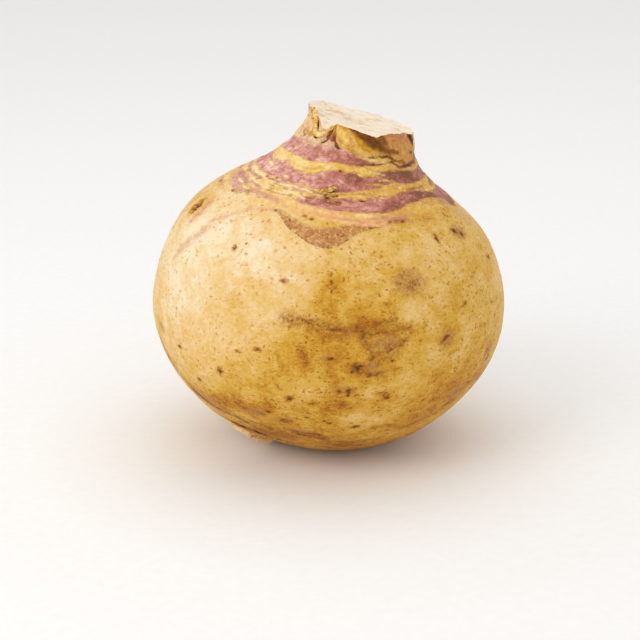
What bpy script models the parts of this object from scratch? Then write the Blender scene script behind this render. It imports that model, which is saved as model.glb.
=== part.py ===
"""Rutabaga: one round root with a purple shoulder, a cut crown and a short cut taproot.

Metres, +Z up, seen from the front along +Y. The root grew as one piece, so the model is one closed
solid. It stands on a small flat spot, and the origin is the centre of its bounding box's underside.
"""

import math

import bmesh
import bpy
from mathutils import Matrix, Vector
from mathutils.geometry import interpolate_bezier

NAME = "rutabaga"

# The bulb: an ellipse below the equator, and the shoulder's own outline above it.
EQUATOR_RADIUS = 0.060
EQUATOR_HEIGHT = 0.051
DEPTH_SHARE = 0.97
SHOULDER_OUTLINE = (
    # radius, height above the equator
    (0.0600, 0.0000),
    (0.0580, 0.0120),
    (0.0540, 0.0220),
    (0.0475, 0.0310),
    (0.0385, 0.0385),
    (0.0300, 0.0440),
    (0.0240, 0.0490),
    (0.0203, 0.0540),
    (0.0186, 0.0600),
    (0.0215, 0.0660),
    (0.0213, 0.0720),
)
REST_SPOT_RADIUS = 0.0105

# The crown leans to +X, and the rings of the shoulder dip the same way.
CROWN_HEIGHT = 0.072
CROWN_LEAN = 0.0195
BASE_LEAN = 0.0010
RING_DIP = math.radians(5.7)

# The neck is narrower from front to back than the bulb.
NECK_DEPTH_SHARE = 0.87
NECK_STARTS = 0.040
NECK_ENDS = 0.060

# The knife took the leaves off along one slanting plane.
CUT_POINT = Vector((0.019, 0.0, 0.1097))
CUT_FALL_TO_RIGHT = 0.2526
CUT_FALL_TO_FRONT = 0.0498

# Leaf bases left shallow rings round the shoulder and neck.
SCAR_RING_HEIGHTS = (0.0365, 0.0435, 0.0500)
SCAR_RING_WIDTH = 0.0016
SCAR_RING_RELIEF = 0.0005

# The largest leaf base left a hollow scar under the cut, on the neck's front right.
LEAF_SCAR_ANGLE = math.radians(-66)
LEAF_SCAR_HEIGHT = 0.0570
LEAF_SCAR_SPREAD = math.radians(36)
LEAF_SCAR_TALL = 0.0044
LEAF_SCAR_LIP = 0.0007
LEAF_SCAR_HOLLOW = 0.0012
LEAF_SCAR_LIP_SHARE = 0.35
LEAF_SCAR_HOLLOW_SHARE = 0.7

# The taproot was cut close to the bulb, low on the left.
STUB_CENTRE = Vector((-0.0275, -0.0105, 0.0055))
STUB_POINTS_TO = Vector((-0.47, -0.10, -0.88))
STUB_RADIUS = 0.0084
STUB_NECK_RADIUS = 0.0080
STUB_DEPTH = 0.0100
STUB_SIDES = 28

# How finely the solid is divided.
SEGMENTS = 68
BASE_ROWS = 15
OUTLINE_STEPS = 4

SKIN_COLOUR = (0.80, 0.58, 0.24, 1.0)
SKIN_ROUGHNESS = 0.45


def clear_scene() -> None:
    """Remove every object that the scene starts with."""
    for found in list(bpy.data.objects):
        bpy.data.objects.remove(found, do_unlink=True)


def clamp(value: float) -> float:
    """Hold a value between 0 and 1."""
    return min(max(value, 0.0), 1.0)


def bump(distance: float, width: float) -> float:
    """A smooth hump that is 1 at no distance and fades over the width."""
    return math.exp(-((distance / width) ** 2))


def angle_between(angle: float, other: float) -> float:
    """The signed turn from one angle to another, within half a turn."""
    return math.remainder(angle - other, math.tau)


def base_outline() -> list[Vector]:
    """The underside from the rest spot's middle out and up to just under the equator."""
    start = math.asin(REST_SPOT_RADIUS / EQUATOR_RADIUS)
    points = [Vector((0, 0, -EQUATOR_HEIGHT * math.cos(start)))]
    for row in range(BASE_ROWS):
        turn = start + (math.pi / 2 - start) * row / BASE_ROWS
        radius = EQUATOR_RADIUS * math.sin(turn)
        points.append(Vector((radius, 0, -EQUATOR_HEIGHT * math.cos(turn))))
    return points


def shoulder_outline() -> list[Vector]:
    """The shoulder and neck as a smooth curve through the outline, closed on the axis.

    Each stretch is a Bezier curve. Its handles are a third of the slope through the neighbouring
    points, and the curve starts straight up at the equator.
    """
    knots = [Vector((radius, 0, height)) for radius, height in SHOULDER_OUTLINE]
    slopes = [(after - before) / 6 for before, after in zip(knots, knots[2:])]
    slopes = [Vector((0, 0, knots[1].z / 3)), *slopes, (knots[-1] - knots[-2]) / 3]
    points: list[Vector] = []
    for index in range(len(knots) - 1):
        low, high = knots[index], knots[index + 1]
        curve = interpolate_bezier(
            low, low + slopes[index], high - slopes[index + 1], high, OUTLINE_STEPS + 1
        )
        points += curve[:-1]
    return [*points, knots[-1], Vector((0, 0, knots[-1].z))]


def relief(angle: float, height: float) -> float:
    """How far the leaf scars lift or sink the skin, by angle and height above the equator."""
    rings = sum(bump(height - ring, SCAR_RING_WIDTH) for ring in SCAR_RING_HEIGHTS)
    across = angle_between(angle, LEAF_SCAR_ANGLE) / LEAF_SCAR_SPREAD
    up = (height - LEAF_SCAR_HEIGHT) / LEAF_SCAR_TALL
    out = math.hypot(across, up)
    lip = LEAF_SCAR_LIP * bump(out - 1.0, LEAF_SCAR_LIP_SHARE)
    hollow = LEAF_SCAR_HOLLOW * bump(out, LEAF_SCAR_HOLLOW_SHARE)
    return SCAR_RING_RELIEF * rings + lip - hollow


def placed(point: Vector) -> Vector:
    """Carry a point of the turned shape to its place on the leaning, oval root.

    The rings' dip grows from nothing at the equator to its full value half way up the crown.
    """
    height = point.z
    angle = math.atan2(point.y, point.x)
    radius = math.hypot(point.x, point.y)
    if radius > REST_SPOT_RADIUS:
        radius += relief(angle, height)
    up = clamp(height / CROWN_HEIGHT)
    down = clamp(-height / EQUATOR_HEIGHT)
    neck = clamp((height - NECK_STARTS) / (NECK_ENDS - NECK_STARTS))
    dip = RING_DIP * clamp(2 * up) ** 1.5
    depth = DEPTH_SHARE + (NECK_DEPTH_SHARE - DEPTH_SHARE) * neck
    across = radius * math.cos(angle)
    lean = CROWN_LEAN * up**3 + BASE_LEAN * down**2
    return Vector(
        (
            lean + across * math.cos(dip),
            depth * radius * math.sin(angle),
            EQUATOR_HEIGHT + height - across * math.sin(dip),
        )
    )


def turn_outline(mesh: bmesh.types.BMesh) -> None:
    """Turn the whole outline once round the axis into a closed skin."""
    points = base_outline() + shoulder_outline()
    corners = [mesh.verts.new(point) for point in points]
    edges = [mesh.edges.new(pair) for pair in zip(corners, corners[1:])]
    bmesh.ops.spin(
        mesh,
        geom=[*corners, *edges],
        axis=(0, 0, 1),
        cent=(0, 0, 0),
        angle=math.tau,
        steps=SEGMENTS,
        use_merge=True,
    )
    bmesh.ops.remove_doubles(mesh, verts=mesh.verts, dist=1e-6)


def cut_crown(mesh: bmesh.types.BMesh) -> None:
    """Slice the top off along the knife's plane and close it with one flat face."""
    normal = Vector((CUT_FALL_TO_RIGHT, -CUT_FALL_TO_FRONT, 1.0))
    cut = bmesh.ops.bisect_plane(
        mesh,
        geom=[*mesh.verts, *mesh.edges, *mesh.faces],
        plane_co=CUT_POINT,
        plane_no=normal,
        clear_outer=True,
    )
    rim = [item for item in cut["geom_cut"] if isinstance(item, bmesh.types.BMEdge)]
    bmesh.ops.edgeloop_fill(mesh, edges=rim)


def skin_material() -> bpy.types.Material:
    """Thin waxy skin, ochre-yellow."""
    material = bpy.data.materials.new("skin")
    material.use_nodes = True
    shader = material.node_tree.nodes["Principled BSDF"]
    shader.inputs["Base Color"].default_value = SKIN_COLOUR
    shader.inputs["Roughness"].default_value = SKIN_ROUGHNESS
    shader.inputs["Metallic"].default_value = 0.0
    return material


def object_from(mesh: bmesh.types.BMesh, name: str) -> bpy.types.Object:
    """Make one scene object from a bmesh, with its faces turned outward."""
    bmesh.ops.recalc_face_normals(mesh, faces=mesh.faces)
    data = bpy.data.meshes.new(name)
    mesh.to_mesh(data)
    mesh.free()
    made = bpy.data.objects.new(name, data)
    bpy.context.collection.objects.link(made)
    return made


def make_bulb() -> bpy.types.Object:
    """The root itself: turned, leaned, its crown cut off."""
    mesh = bmesh.new()
    turn_outline(mesh)
    for corner in mesh.verts:
        corner.co = placed(corner.co)
    cut_crown(mesh)
    return object_from(mesh, NAME)


def make_stub() -> bpy.types.Object:
    """The cut taproot: a short plug, a little wider at its cut face than at its neck."""
    mesh = bmesh.new()
    bmesh.ops.create_cone(
        mesh,
        cap_ends=True,
        segments=STUB_SIDES,
        radius1=STUB_NECK_RADIUS,
        radius2=STUB_RADIUS,
        depth=STUB_DEPTH,
        matrix=Matrix.Translation((0, 0, -STUB_DEPTH / 2)),
    )
    facing = STUB_POINTS_TO.to_track_quat("Z", "Y").to_matrix().to_4x4()
    bmesh.ops.transform(mesh, matrix=Matrix.Translation(STUB_CENTRE) @ facing, verts=mesh.verts)
    return object_from(mesh, "taproot_stub")


def join_stub(bulb: bpy.types.Object, stub: bpy.types.Object) -> None:
    """Fuse the stub into the bulb, so that the root is one solid."""
    join = bulb.modifiers.new("taproot", "BOOLEAN")
    join.operation = "UNION"
    join.solver = "EXACT"
    join.object = stub
    stub.hide_render = True
    stub.display_type = "WIRE"


def stand_on_origin(*pieces: bpy.types.Object) -> None:
    """Move the pieces so that the bulb's bounding box stands centred on the origin."""
    corners = [corner.co for corner in pieces[0].data.vertices]
    low = Vector(min(corner[axis] for corner in corners) for axis in range(3))
    high = Vector(max(corner[axis] for corner in corners) for axis in range(3))
    shift = Vector((-(low.x + high.x) / 2, -(low.y + high.y) / 2, -low.z))
    for piece in pieces:
        piece.data.transform(Matrix.Translation(shift))


def main() -> None:
    """Build the rutabaga."""
    clear_scene()
    bulb = make_bulb()
    stub = make_stub()
    stand_on_origin(bulb, stub)
    join_stub(bulb, stub)
    bulb.data.materials.append(skin_material())
    bulb.data.shade_smooth()
    bulb.data.set_sharp_from_angle(angle=math.radians(40))


main()
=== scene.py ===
"""Looks of a whole rutabaga: banded skin, cut crown, leaf scar, husk, eye, bud and taproot stub.

Lengths in the classes are millimetres on a root 120 mm across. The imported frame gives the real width,
and every mesh is scaled to it. Angles are degrees round the root: 0 faces +X and -90 faces the front.
Heights are millimetres above the root's widest ring.
"""

import logging
import math
from collections.abc import Sequence
from dataclasses import dataclass
from enum import Enum

import bmesh
import bpy
import numpy as np
from mathutils import Matrix, Vector, noise
from mathutils.geometry import interpolate_bezier


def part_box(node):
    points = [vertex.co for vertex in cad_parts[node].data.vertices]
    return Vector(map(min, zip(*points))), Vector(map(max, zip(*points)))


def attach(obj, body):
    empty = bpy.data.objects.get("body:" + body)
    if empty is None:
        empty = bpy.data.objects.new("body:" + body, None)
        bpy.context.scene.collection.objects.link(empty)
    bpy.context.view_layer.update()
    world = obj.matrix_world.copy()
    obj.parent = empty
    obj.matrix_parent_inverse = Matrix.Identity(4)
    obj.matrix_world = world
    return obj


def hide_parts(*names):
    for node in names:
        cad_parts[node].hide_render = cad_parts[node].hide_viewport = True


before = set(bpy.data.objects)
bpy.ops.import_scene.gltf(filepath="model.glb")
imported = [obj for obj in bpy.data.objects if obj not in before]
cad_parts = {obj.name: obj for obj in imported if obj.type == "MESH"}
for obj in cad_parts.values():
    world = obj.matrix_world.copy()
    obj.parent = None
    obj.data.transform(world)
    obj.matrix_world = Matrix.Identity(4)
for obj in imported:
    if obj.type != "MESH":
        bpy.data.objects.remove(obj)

NODE = "rutabaga"
BODY = "root"
NOMINAL_WIDTH = 120.0
STUB_MIDDLE = (-27.5, -10.5, 5.5)
# A mark's inside value far away from it, and the millimetres over which the bands' values run.
OUTSIDE = -9.0
FADE = 4.0

log = logging.getLogger("rutabaga")


def tint(red: int, green: int, blue: int) -> tuple[float, float, float, float]:
    """Turn a display colour into the linear colour that shaders take.

    Args:
        red: Red, 0 to 255.
        green: Green, 0 to 255.
        blue: Blue, 0 to 255.

    Returns:
        The linear colour with full alpha.
    """

    def linear(value: int) -> float:
        """Undo the display curve for one channel."""
        share = value / 255
        return share / 12.92 if share <= 0.04045 else ((share + 0.055) / 1.055) ** 2.4

    return linear(red), linear(green), linear(blue), 1.0


def ease(value: np.ndarray, low: float, high: float) -> np.ndarray:
    """Rise smoothly from 0 at low to 1 at high.

    Args:
        value: The values to map.
        low: Where the rise starts. It may lie above high, for a fall.
        high: Where the rise ends.

    Returns:
        Shares from 0 to 1.
    """
    share = np.clip((value - low) / (high - low), 0.0, 1.0)
    return share * share * (3 - 2 * share)


def ripple(points: np.ndarray, size: float, seed: float) -> np.ndarray:
    """Smooth random waves in space.

    Args:
        points: Places in millimetres, one row each.
        size: Length of a wave in millimetres.
        seed: Shift that gives each use its own waves.

    Returns:
        A value of about -1 to 1 for each place.
    """
    shift = Vector((seed, seed * 1.7, seed * 2.3))
    return np.array([noise.noise(Vector(row) / size + shift) for row in points])


# ---------------------------------------------------------------- shape of the root


@dataclass(frozen=True)
class BulbShape:
    """The root's form, in the same terms as its solid."""

    equator_radius: float = 60.0
    equator_height: float = 51.0
    depth_share: float = 0.97
    rest_spot_radius: float = 10.5
    shoulder: tuple[tuple[float, float], ...] = (
        (60.0, 0.0), (58.0, 12.0), (54.0, 22.0), (47.5, 31.0), (38.5, 38.5), (30.0, 44.0), (24.0, 49.0),
        (20.3, 54.0), (18.6, 60.0), (21.5, 66.0), (21.3, 72.0),
    )
    crown_height: float = 72.0
    crown_lean: float = 19.5
    base_lean: float = 1.0
    ring_dip: float = math.radians(5.7)
    neck_depth_share: float = 0.87
    neck_starts: float = 40.0
    neck_ends: float = 60.0
    cut_point: Vector = Vector((19.0, 0.0, 109.7))
    cut_fall_right: float = 0.2526
    cut_fall_front: float = 0.0498
    base_rows: int = 96
    shoulder_steps: int = 15

    @property
    def rest_turn(self) -> float:
        """Where the rest spot's rim lies on the underside's ellipse, in radians from the pole."""
        return math.asin(self.rest_spot_radius / self.equator_radius)

    @property
    def sole(self) -> float:
        """How much of the ellipse the flat rest spot takes off."""
        return self.equator_height * (1 - math.cos(self.rest_turn))

    @property
    def cut_normal(self) -> Vector:
        """The direction square to the knife's cut."""
        return Vector((self.cut_fall_right, -self.cut_fall_front, 1.0)).normalized()

    def base_outline(self) -> list[Vector]:
        """The underside's outline, from the rest spot's middle to just under the widest ring."""
        low = -self.equator_height * math.cos(self.rest_turn)
        points = [Vector((radius, 0, low)) for radius in np.linspace(0, self.rest_spot_radius, 10)]
        for row in range(1, self.base_rows):
            turn = self.rest_turn + (math.pi / 2 - self.rest_turn) * row / self.base_rows
            radius = self.equator_radius * math.sin(turn)
            points.append(Vector((radius, 0, -self.equator_height * math.cos(turn))))
        return points

    def shoulder_outline(self) -> list[Vector]:
        """The outline from the widest ring up, as a smooth curve through the shoulder's points."""
        knots = [Vector((radius, 0, height)) for radius, height in self.shoulder]
        slopes = [(after - before) / 6 for before, after in zip(knots, knots[2:])]
        slopes = [Vector((0, 0, knots[1].z / 3)), *slopes, (knots[-1] - knots[-2]) / 3]
        points: list[Vector] = []
        for index in range(len(knots) - 1):
            low, high = knots[index], knots[index + 1]
            steps = self.shoulder_steps + (3 if index > 2 else 0) + 1
            ends = (low, low + slopes[index], high - slopes[index + 1], high)
            points += interpolate_bezier(*ends, steps)[:-1]
        return [*points, knots[-1]]

    def radius_at(self, height: np.ndarray) -> np.ndarray:
        """The turned shape's radius at each height."""
        outline = self.base_outline() + self.shoulder_outline()
        return np.interp(height, [p.z for p in outline], [p.x for p in outline])

    def settle(self, turned: np.ndarray) -> np.ndarray:
        """Carry points of the turned shape to their place on the leaning, oval root.

        Args:
            turned: Points of the upright turned shape, one row each.

        Returns:
            The points on the root that stands on the ground.
        """
        height = turned[:, 2]
        up = np.clip(height / self.crown_height, 0, 1.2)
        down = np.clip(-height / self.equator_height, 0, 1)
        neck = np.clip((height - self.neck_starts) / (self.neck_ends - self.neck_starts), 0, 1)
        dip = self.ring_dip * np.clip(2 * up, 0, 1) ** 1.5
        depth = self.depth_share + (self.neck_depth_share - self.depth_share) * neck
        lean = self.crown_lean * up**3 + self.base_lean * down**2
        ground = self.equator_height - self.sole
        across = lean + turned[:, 0] * np.cos(dip)
        return np.column_stack((across, depth * turned[:, 1], ground + height - turned[:, 0] * np.sin(dip)))

    def on_skin(self, angle: np.ndarray, height: np.ndarray) -> np.ndarray:
        """Points of the skin at the given angles and heights, one row each."""
        turn = np.radians(angle)
        radius = self.radius_at(height)
        return self.settle(np.column_stack((radius * np.cos(turn), radius * np.sin(turn), height)))

    def axes_at(self, angle: np.ndarray, height: np.ndarray) -> tuple[np.ndarray, ...]:
        """Unit directions on the skin: round the root, up the skin, and outward.

        Args:
            angle: Angles round the root.
            height: Heights above the widest ring.

        Returns:
            Three arrays with one direction a row.
        """
        step = 0.2
        top = self.shoulder[-1][1]
        around = self.on_skin(angle + step, height) - self.on_skin(angle - step, height)
        higher = np.minimum(height + step, top)
        upward = self.on_skin(angle, higher) - self.on_skin(angle, higher - 2 * step)
        around /= np.linalg.norm(around, axis=1, keepdims=True) + 1e-12
        upward /= np.linalg.norm(upward, axis=1, keepdims=True) + 1e-12
        outward = np.cross(around, upward)
        return around, upward, outward / (np.linalg.norm(outward, axis=1, keepdims=True) + 1e-12)


# ---------------------------------------------------------------- marks on the skin


@dataclass(frozen=True)
class Wander:
    """A line that goes once round the root through (angle, height) points."""

    points: tuple[tuple[float, float], ...]

    def height_at(self, angle: np.ndarray) -> np.ndarray:
        """The line's height at each angle, as a smooth curve that closes on itself."""
        turns = np.array([angle for angle, _ in self.points], float)
        rises = np.tile([height for _, height in self.points], 3)
        turns = np.concatenate((turns - 360, turns, turns + 360))
        slopes = np.gradient(rises, turns)
        left = np.clip(np.searchsorted(turns, angle) - 1, 0, len(turns) - 2)
        span = turns[left + 1] - turns[left]
        t = (angle - turns[left]) / span
        start = rises[left] * (1 + 2 * t) * (1 - t) ** 2 + slopes[left] * span * t * (1 - t) ** 2
        end = rises[left + 1] * t * t * (3 - 2 * t) + slopes[left + 1] * span * t * t * (t - 1)
        return start + end


@dataclass(frozen=True)
class Band:
    """A coloured ring between two wandering lines, whole or from one angle to another."""

    top: Wander
    bottom: Wander
    start: float = -181.0
    end: float = 181.0
    end_slope: float = 0.35

    def inside(self, angle: np.ndarray, height: np.ndarray, steep: np.ndarray) -> np.ndarray:
        """How many millimetres inside the band each point is.

        Args:
            angle: Angles round the root.
            height: Heights above the widest ring.
            steep: Millimetres of skin for each millimetre of height.

        Returns:
            Depth inside the band, negative outside.
        """
        depth = np.minimum(self.top.height_at(angle) - height, height - self.bottom.height_at(angle))
        ends = np.minimum(angle - self.start, self.end - angle) * self.end_slope
        return np.minimum(depth * steep, ends)


@dataclass(frozen=True)
class Patch:
    """An oval mark: its middle, half width, half height and tilt (anticlockwise from level)."""

    angle: float
    height: float
    wide: float
    tall: float
    tilt: float = 0.0

    def inside(self, points: np.ndarray, shape: BulbShape) -> np.ndarray:
        """1 in the mark's middle, 0 on its edge and negative outside, for each point."""
        at = np.array([self.angle]), np.array([self.height])
        around, upward, outward = (axis[0] for axis in shape.axes_at(*at))
        offset = points - shape.on_skin(*at)[0]
        turn = math.radians(self.tilt)
        along = offset @ (around * math.cos(turn) + upward * math.sin(turn))
        across = offset @ (upward * math.cos(turn) - around * math.sin(turn))
        away = offset @ outward
        far = 2.5 * max(self.wide, self.tall)
        size = np.sqrt((along / self.wide) ** 2 + (across / self.tall) ** 2 + (away / far) ** 2)
        return 1 - size


@dataclass(frozen=True)
class Trail:
    """A line drawn on the skin through (angle, height) points."""

    points: tuple[tuple[float, float], ...]
    width: float

    def route(self, shape: BulbShape, spacing: float = 0.35) -> np.ndarray:
        """Closely spaced points of the line on the skin."""
        corners = np.array(self.points, float)
        dense = []
        for start, end in zip(corners, corners[1:]):
            ends = shape.on_skin(*np.array([start, end]).T)
            count = max(2, int(np.linalg.norm(ends[1] - ends[0]) / spacing))
            dense.append(start + (end - start) * np.linspace(0, 1, count)[:, None])
        joined = np.concatenate(dense)
        return shape.on_skin(joined[:, 0], joined[:, 1])

    def inside(self, points: np.ndarray, shape: BulbShape) -> np.ndarray:
        """1 on the line, 0 at its half width and negative beyond, for each point."""
        route = self.route(shape)
        result = np.full(len(points), OUTSIDE)
        margin = 6 * self.width
        near = np.all((points > route.min(0) - margin) & (points < route.max(0) + margin), axis=1)
        chosen = points[near]
        least = np.full(len(chosen), 1e9)
        for stop in route:
            least = np.minimum(least, ((chosen - stop) ** 2).sum(axis=1))
        result[near] = np.maximum(1 - 2 * np.sqrt(least) / self.width, OUTSIDE)
        return result


def deepest(marks: Sequence[Patch | Trail], points: np.ndarray, shape: BulbShape) -> np.ndarray:
    """The largest inside value of several marks at each point."""
    result = np.full(len(points), OUTSIDE)
    for mark in marks:
        result = np.maximum(result, mark.inside(points, shape))
    return result


def softened(marks: Sequence[Patch | Trail], points: np.ndarray, shape: BulbShape) -> np.ndarray:
    """Several marks as one soft cloud from 0 to 1 at each point."""
    left = np.ones(len(points))
    for mark in marks:
        left *= 1 - ease(mark.inside(points, shape), -0.25, 0.75)
    return 1 - left


def patches(rows: Sequence[Sequence[float]]) -> tuple[Patch, ...]:
    """One patch from each row of its values."""
    return tuple(Patch(*row) for row in rows)


def trails(rows: Sequence[tuple]) -> tuple[Trail, ...]:
    """One trail from each row of its width and points."""
    return tuple(Trail(tuple(points), width) for width, *points in rows)


@dataclass(frozen=True)
class Shade:
    """A soft cloud that darkens or lightens the skin's tone."""

    patch: Patch
    depth: float

    def over(self, points: np.ndarray, shape: BulbShape) -> np.ndarray:
        """How much the cloud adds to the tone at each point."""
        return self.depth * ease(self.patch.inside(points, shape), -0.4, 0.7)


@dataclass(frozen=True)
class Daub:
    """A stroke of colour, for marks that appear once; a few are painted shadow or a painted highlight."""

    mark: Patch | Trail
    colour: tuple[int, int, int]
    strength: float = 0.9
    soft: float = 0.5

    def lay(self, paint: np.ndarray, points: np.ndarray, shape: BulbShape) -> None:
        """Blend the stroke into the paint, which has a colour and a cover in each row."""
        cover = self.strength * ease(self.mark.inside(points, shape), -self.soft, self.soft)
        shade = np.array(tint(*self.colour)[:3])
        total = cover + paint[:, 3] * (1 - cover)
        share = (cover / np.maximum(total, 1e-6))[:, None]
        paint[:, :3] += (shade - paint[:, :3]) * share
        paint[:, 3] = total


# ---------------------------------------------------------------- tables of marks


# The crease where the taproot stub's lip meets the bulb: a groove, and a line of painted shadow along it.
STUB_CREASE = Trail((
    (-140, -34.4), (-135, -35.2), (-130.5, -36.0), (-127, -37.0), (-123.7, -38.0), (-118, -40.0),
    (-113, -41.6),
), 2.6)

# Hollows and gaps of the neck: the scar's dark wedge, the loop's gap and the folds, each with its depth.
HOLLOWS = (
    (Patch(-78, 57.5, 7.5, 2.3, -16), -0.8),
    (Patch(-28, 57.9, 6.5, 1.2, -28), -0.5),
    (STUB_CREASE, -0.8),
    (Trail(
        ((-160, 61.8), (-152.5, 61.4), (-149.5, 60.7), (-146.5, 59.5), (-143, 58.2), (-140, 57.4)), 1.8
    ), -0.9),
    (Trail(((-126.8, 60.8), (-125.2, 59.4), (-124.8, 57.9), (-126, 56.7)), 2.4), -0.9),
    (Trail(((-121.8, 60.8), (-119.5, 58.9), (-116.8, 57.2), (-112.5, 56.0), (-107, 54.9)), 1.6), -0.5),
    (Trail(((-77, 52.9), (-66, 52.9), (-58.5, 53.1), (-54, 52.5), (-49.5, 51.9), (-38, 51.4)), 1.2), -0.4),
    (Trail(((-76, 51.2), (-66, 51.0), (-58, 51.3), (-49, 50.9), (-36, 50.3), (-27, 50.3)), 1.2), -0.4),
    (Patch(-68, 52.0, 5.4, 0.7), 0.35),
    (Trail(((-72, 56.2), (-66, 55.1), (-58, 54.4), (-50, 53.9)), 1.3), -0.4),
)

UPPER_TOP = Wander((
    (-180, 54.1), (-165, 54.3), (-156, 54.9), (-151, 56.2), (-140, 56.2), (-127, 56.0), (-122, 57.4),
    (-118, 57.4), (-112, 55.8), (-105, 54.8), (-96, 53.9), (-88, 53.2), (-80, 52.6), (-74, 51.6),
    (-68, 50.6), (-50, 49.9), (-32, 50.9), (-24, 51.9), (-10, 52.8), (10, 53.4), (45, 54.2), (90, 53.2),
    (140, 54.8),

))

UPPER_BOTTOM = Wander((
    (-170, 50.5), (-150, 50.8), (-120, 50.1), (-100, 50.7), (-85, 50.5), (-74, 50.8), (-60, 50.7),
    (-45, 50.4), (-30, 50.2), (-18, 50.9), (0, 50.8), (60, 50.1), (130, 51.0),

))

MIDDLE_TOP = Wander((
    (-180, 48.4), (-170, 47.7), (-160, 47.6), (-150, 47.9), (-143, 48.3), (-135, 47.4), (-127, 46.9),
    (-119, 46.7), (-110, 47.7), (-104, 48.4), (-97, 48.8), (-90, 48.4), (-85, 48.5), (-80, 47.6),
    (-75, 48.0), (-66, 48.8), (-55, 49.3), (-40, 49.0), (-25, 48.7), (-8, 49.1), (20, 48.5), (60, 47.8),
    (95, 48.9), (135, 47.6),

))

MIDDLE_BOTTOM = Wander((
    (-180, 45.0), (-165, 44.4), (-150, 44.4), (-135, 44.1), (-118, 43.9), (-104, 43.6), (-95, 43.5),
    (-88, 43.8), (-80, 44.4), (-70, 45.0), (-62, 45.8), (-55, 46.4), (-45, 46.0), (-32, 45.8),
    (-15, 46.2), (10, 45.4), (50, 44.6), (100, 45.4), (150, 44.6),

))

LOWER_TOP = Wander((
    (-120, 41.0), (-110, 41.4), (-103, 41.8), (-97, 41.9), (-91, 42.1), (-82, 42.3), (-70, 42.6),
    (-60, 43.0), (-52, 43.9), (-44, 44.0), (-35, 43.7), (-26, 43.0), (0, 42.8), (40, 42.2), (90, 43.0),
    (160, 42.0),

))

LOWER_BOTTOM = Wander((
    (-120, 40.3), (-110, 40.2), (-100, 39.6), (-92, 39.3), (-84, 39.3), (-72, 39.2), (-62, 39.8),
    (-57, 40.4), (-51, 41.4), (-44, 41.5), (-37, 41.9), (-28, 41.8), (-15, 40.4), (10, 39.4),
    (50, 40.2), (110, 39.4), (165, 41.0),

))

RIPENESS = Wander((
    (-180, -0.10), (-150, -0.11), (-130, -0.09), (-112, -0.03), (-98, 0.05), (-85, 0.09), (-70, 0.10),
    (-55, 0.18), (-35, 0.20), (-15, 0.16), (20, 0.04), (70, 0.10), (110, -0.04), (150, 0.02),

))

TONGUE_EDGE = Wander((
    (-180, 36.2), (-150, 36.0), (-130, 36.2), (-121, 37.0), (-116, 36.0), (-110, 33.7), (-106, 32.5),
    (-102.5, 31.4), (-99, 30.4), (-96, 29.9), (-92.5, 29.7), (-90, 30.2), (-86.8, 31.5), (-84, 32.8),
    (-82, 33.8), (-79.5, 34.6), (-76, 35.2), (-71.8, 35.6), (-66.5, 36.7), (-61, 37.3), (-48, 37.0),
    (-20, 36.6), (30, 35.6), (70, 36.8), (120, 34.8), (150, 36.4),

))

CORK_TOP = Wander((
    (-180, 34.0), (-124, 35.0), (-119, 37.4), (-115, 37.2), (-111, 36.2), (-106, 35.6), (-101, 35.0),
    (-95, 34.9), (-91, 35.4), (-87, 36.2), (-80, 36.3), (-74, 36.7), (-68, 37.4), (-60, 38.2),
    (-52, 36.0), (-20, 34.0), (60, 35.4), (95, 36.0), (118, 37.8), (135, 36.4), (155, 35.0),

))

SCAR_EDGE = Wander((
    (-180, 80.0), (-130, 74.0), (-121.5, 61.6), (-118, 58.6), (-113, 56.6), (-107, 55.4), (-100, 54.6),
    (-92, 53.9), (-84, 53.4), (-76, 53.1), (-62, 53.1), (-52, 52.5), (-42, 51.5), (-32, 51.0),
    (-24, 52.0), (-18, 53.4), (-12, 58.0), (-2, 70.0), (10, 80.0), (90, 80.0),

))

RIM_RISE = Wander((
    (-180, 1.9), (-165, 1.6), (-155, 1.2), (-149, 0.5), (-144, -1.0), (-139, -2.4), (-132, -3.0),
    (-127, -1.8), (-123.5, -0.3), (-120, 0.9), (-112, 0.9), (-103, 0.8), (-95, 0.4), (-85, 0.1),
    (-76, 0.1), (-71, 1.0), (-60, 1.8), (-45, 2.1), (-35, 1.9), (-25, 1.2), (-12, 0.8), (0, 0.9),
    (20, 0.6), (40, 0.1), (70, 0.1), (100, 0.0), (120, 0.4), (140, 1.2), (160, 1.5),

))

# Rows of patches: angle, height, half width, half height and, where it leans, tilt.
ISLANDS = (
    (-160, 39.6, 6.4, 1.0, -6), (-166, 41.7, 9.0, 0.9, -2), (-153, 38.6, 2.2, 0.7, -20),
    (-176, 37.9, 3.5, 0.6, 0), (-182, 43.4, 5.0, 0.6, 0), (-5, 39.6, 5.5, 3.4, 0), (-2, 44.4, 6.0, 1.4, 0),
    (70, 37.6, 12.0, 0.8, 3), (130, 38.2, 9.0, 1.0, -4),
)

WASHES = (
    (-162, 40.6, 13.0, 3.4, -4), (-178, 46.0, 6.0, 8.0, 0), (-132, 39.9, 14.0, 1.7, -2),
    (-122, 43.5, 16.0, 1.1, -2), (-108, 40.2, 7.0, 1.6, 0), (-12, 40.5, 10.0, 5.0, 0),
    (30, 41.0, 14.0, 3.4, 0), (90, 40.5, 14.0, 3.0, 0), (150, 40.0, 12.0, 3.4, 0),
)

DROPS = (
    (-156, 46.5, 3.4, 0.75, -6), (-159, 40.75, 3.6, 0.55, -8), (-131.5, 45.1, 1.5, 0.5, -14),
    (-137, 43.9, 1.9, 0.4, -16), (-155, 52.6, 2.0, 0.45, -3), (-121, 52.4, 0.8, 0.35, 0),
    (-117.5, 44.6, 1.0, 0.22, 0), (-69, 45.9, 3.2, 0.4, 6), (-61, 47.0, 2.0, 0.3, 8),
    (62, 46.4, 2.8, 0.8, 14), (104, 41.6, 2.4, 0.8, -10), (20, 47.0, 2.6, 0.5, 4),
)

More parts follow.
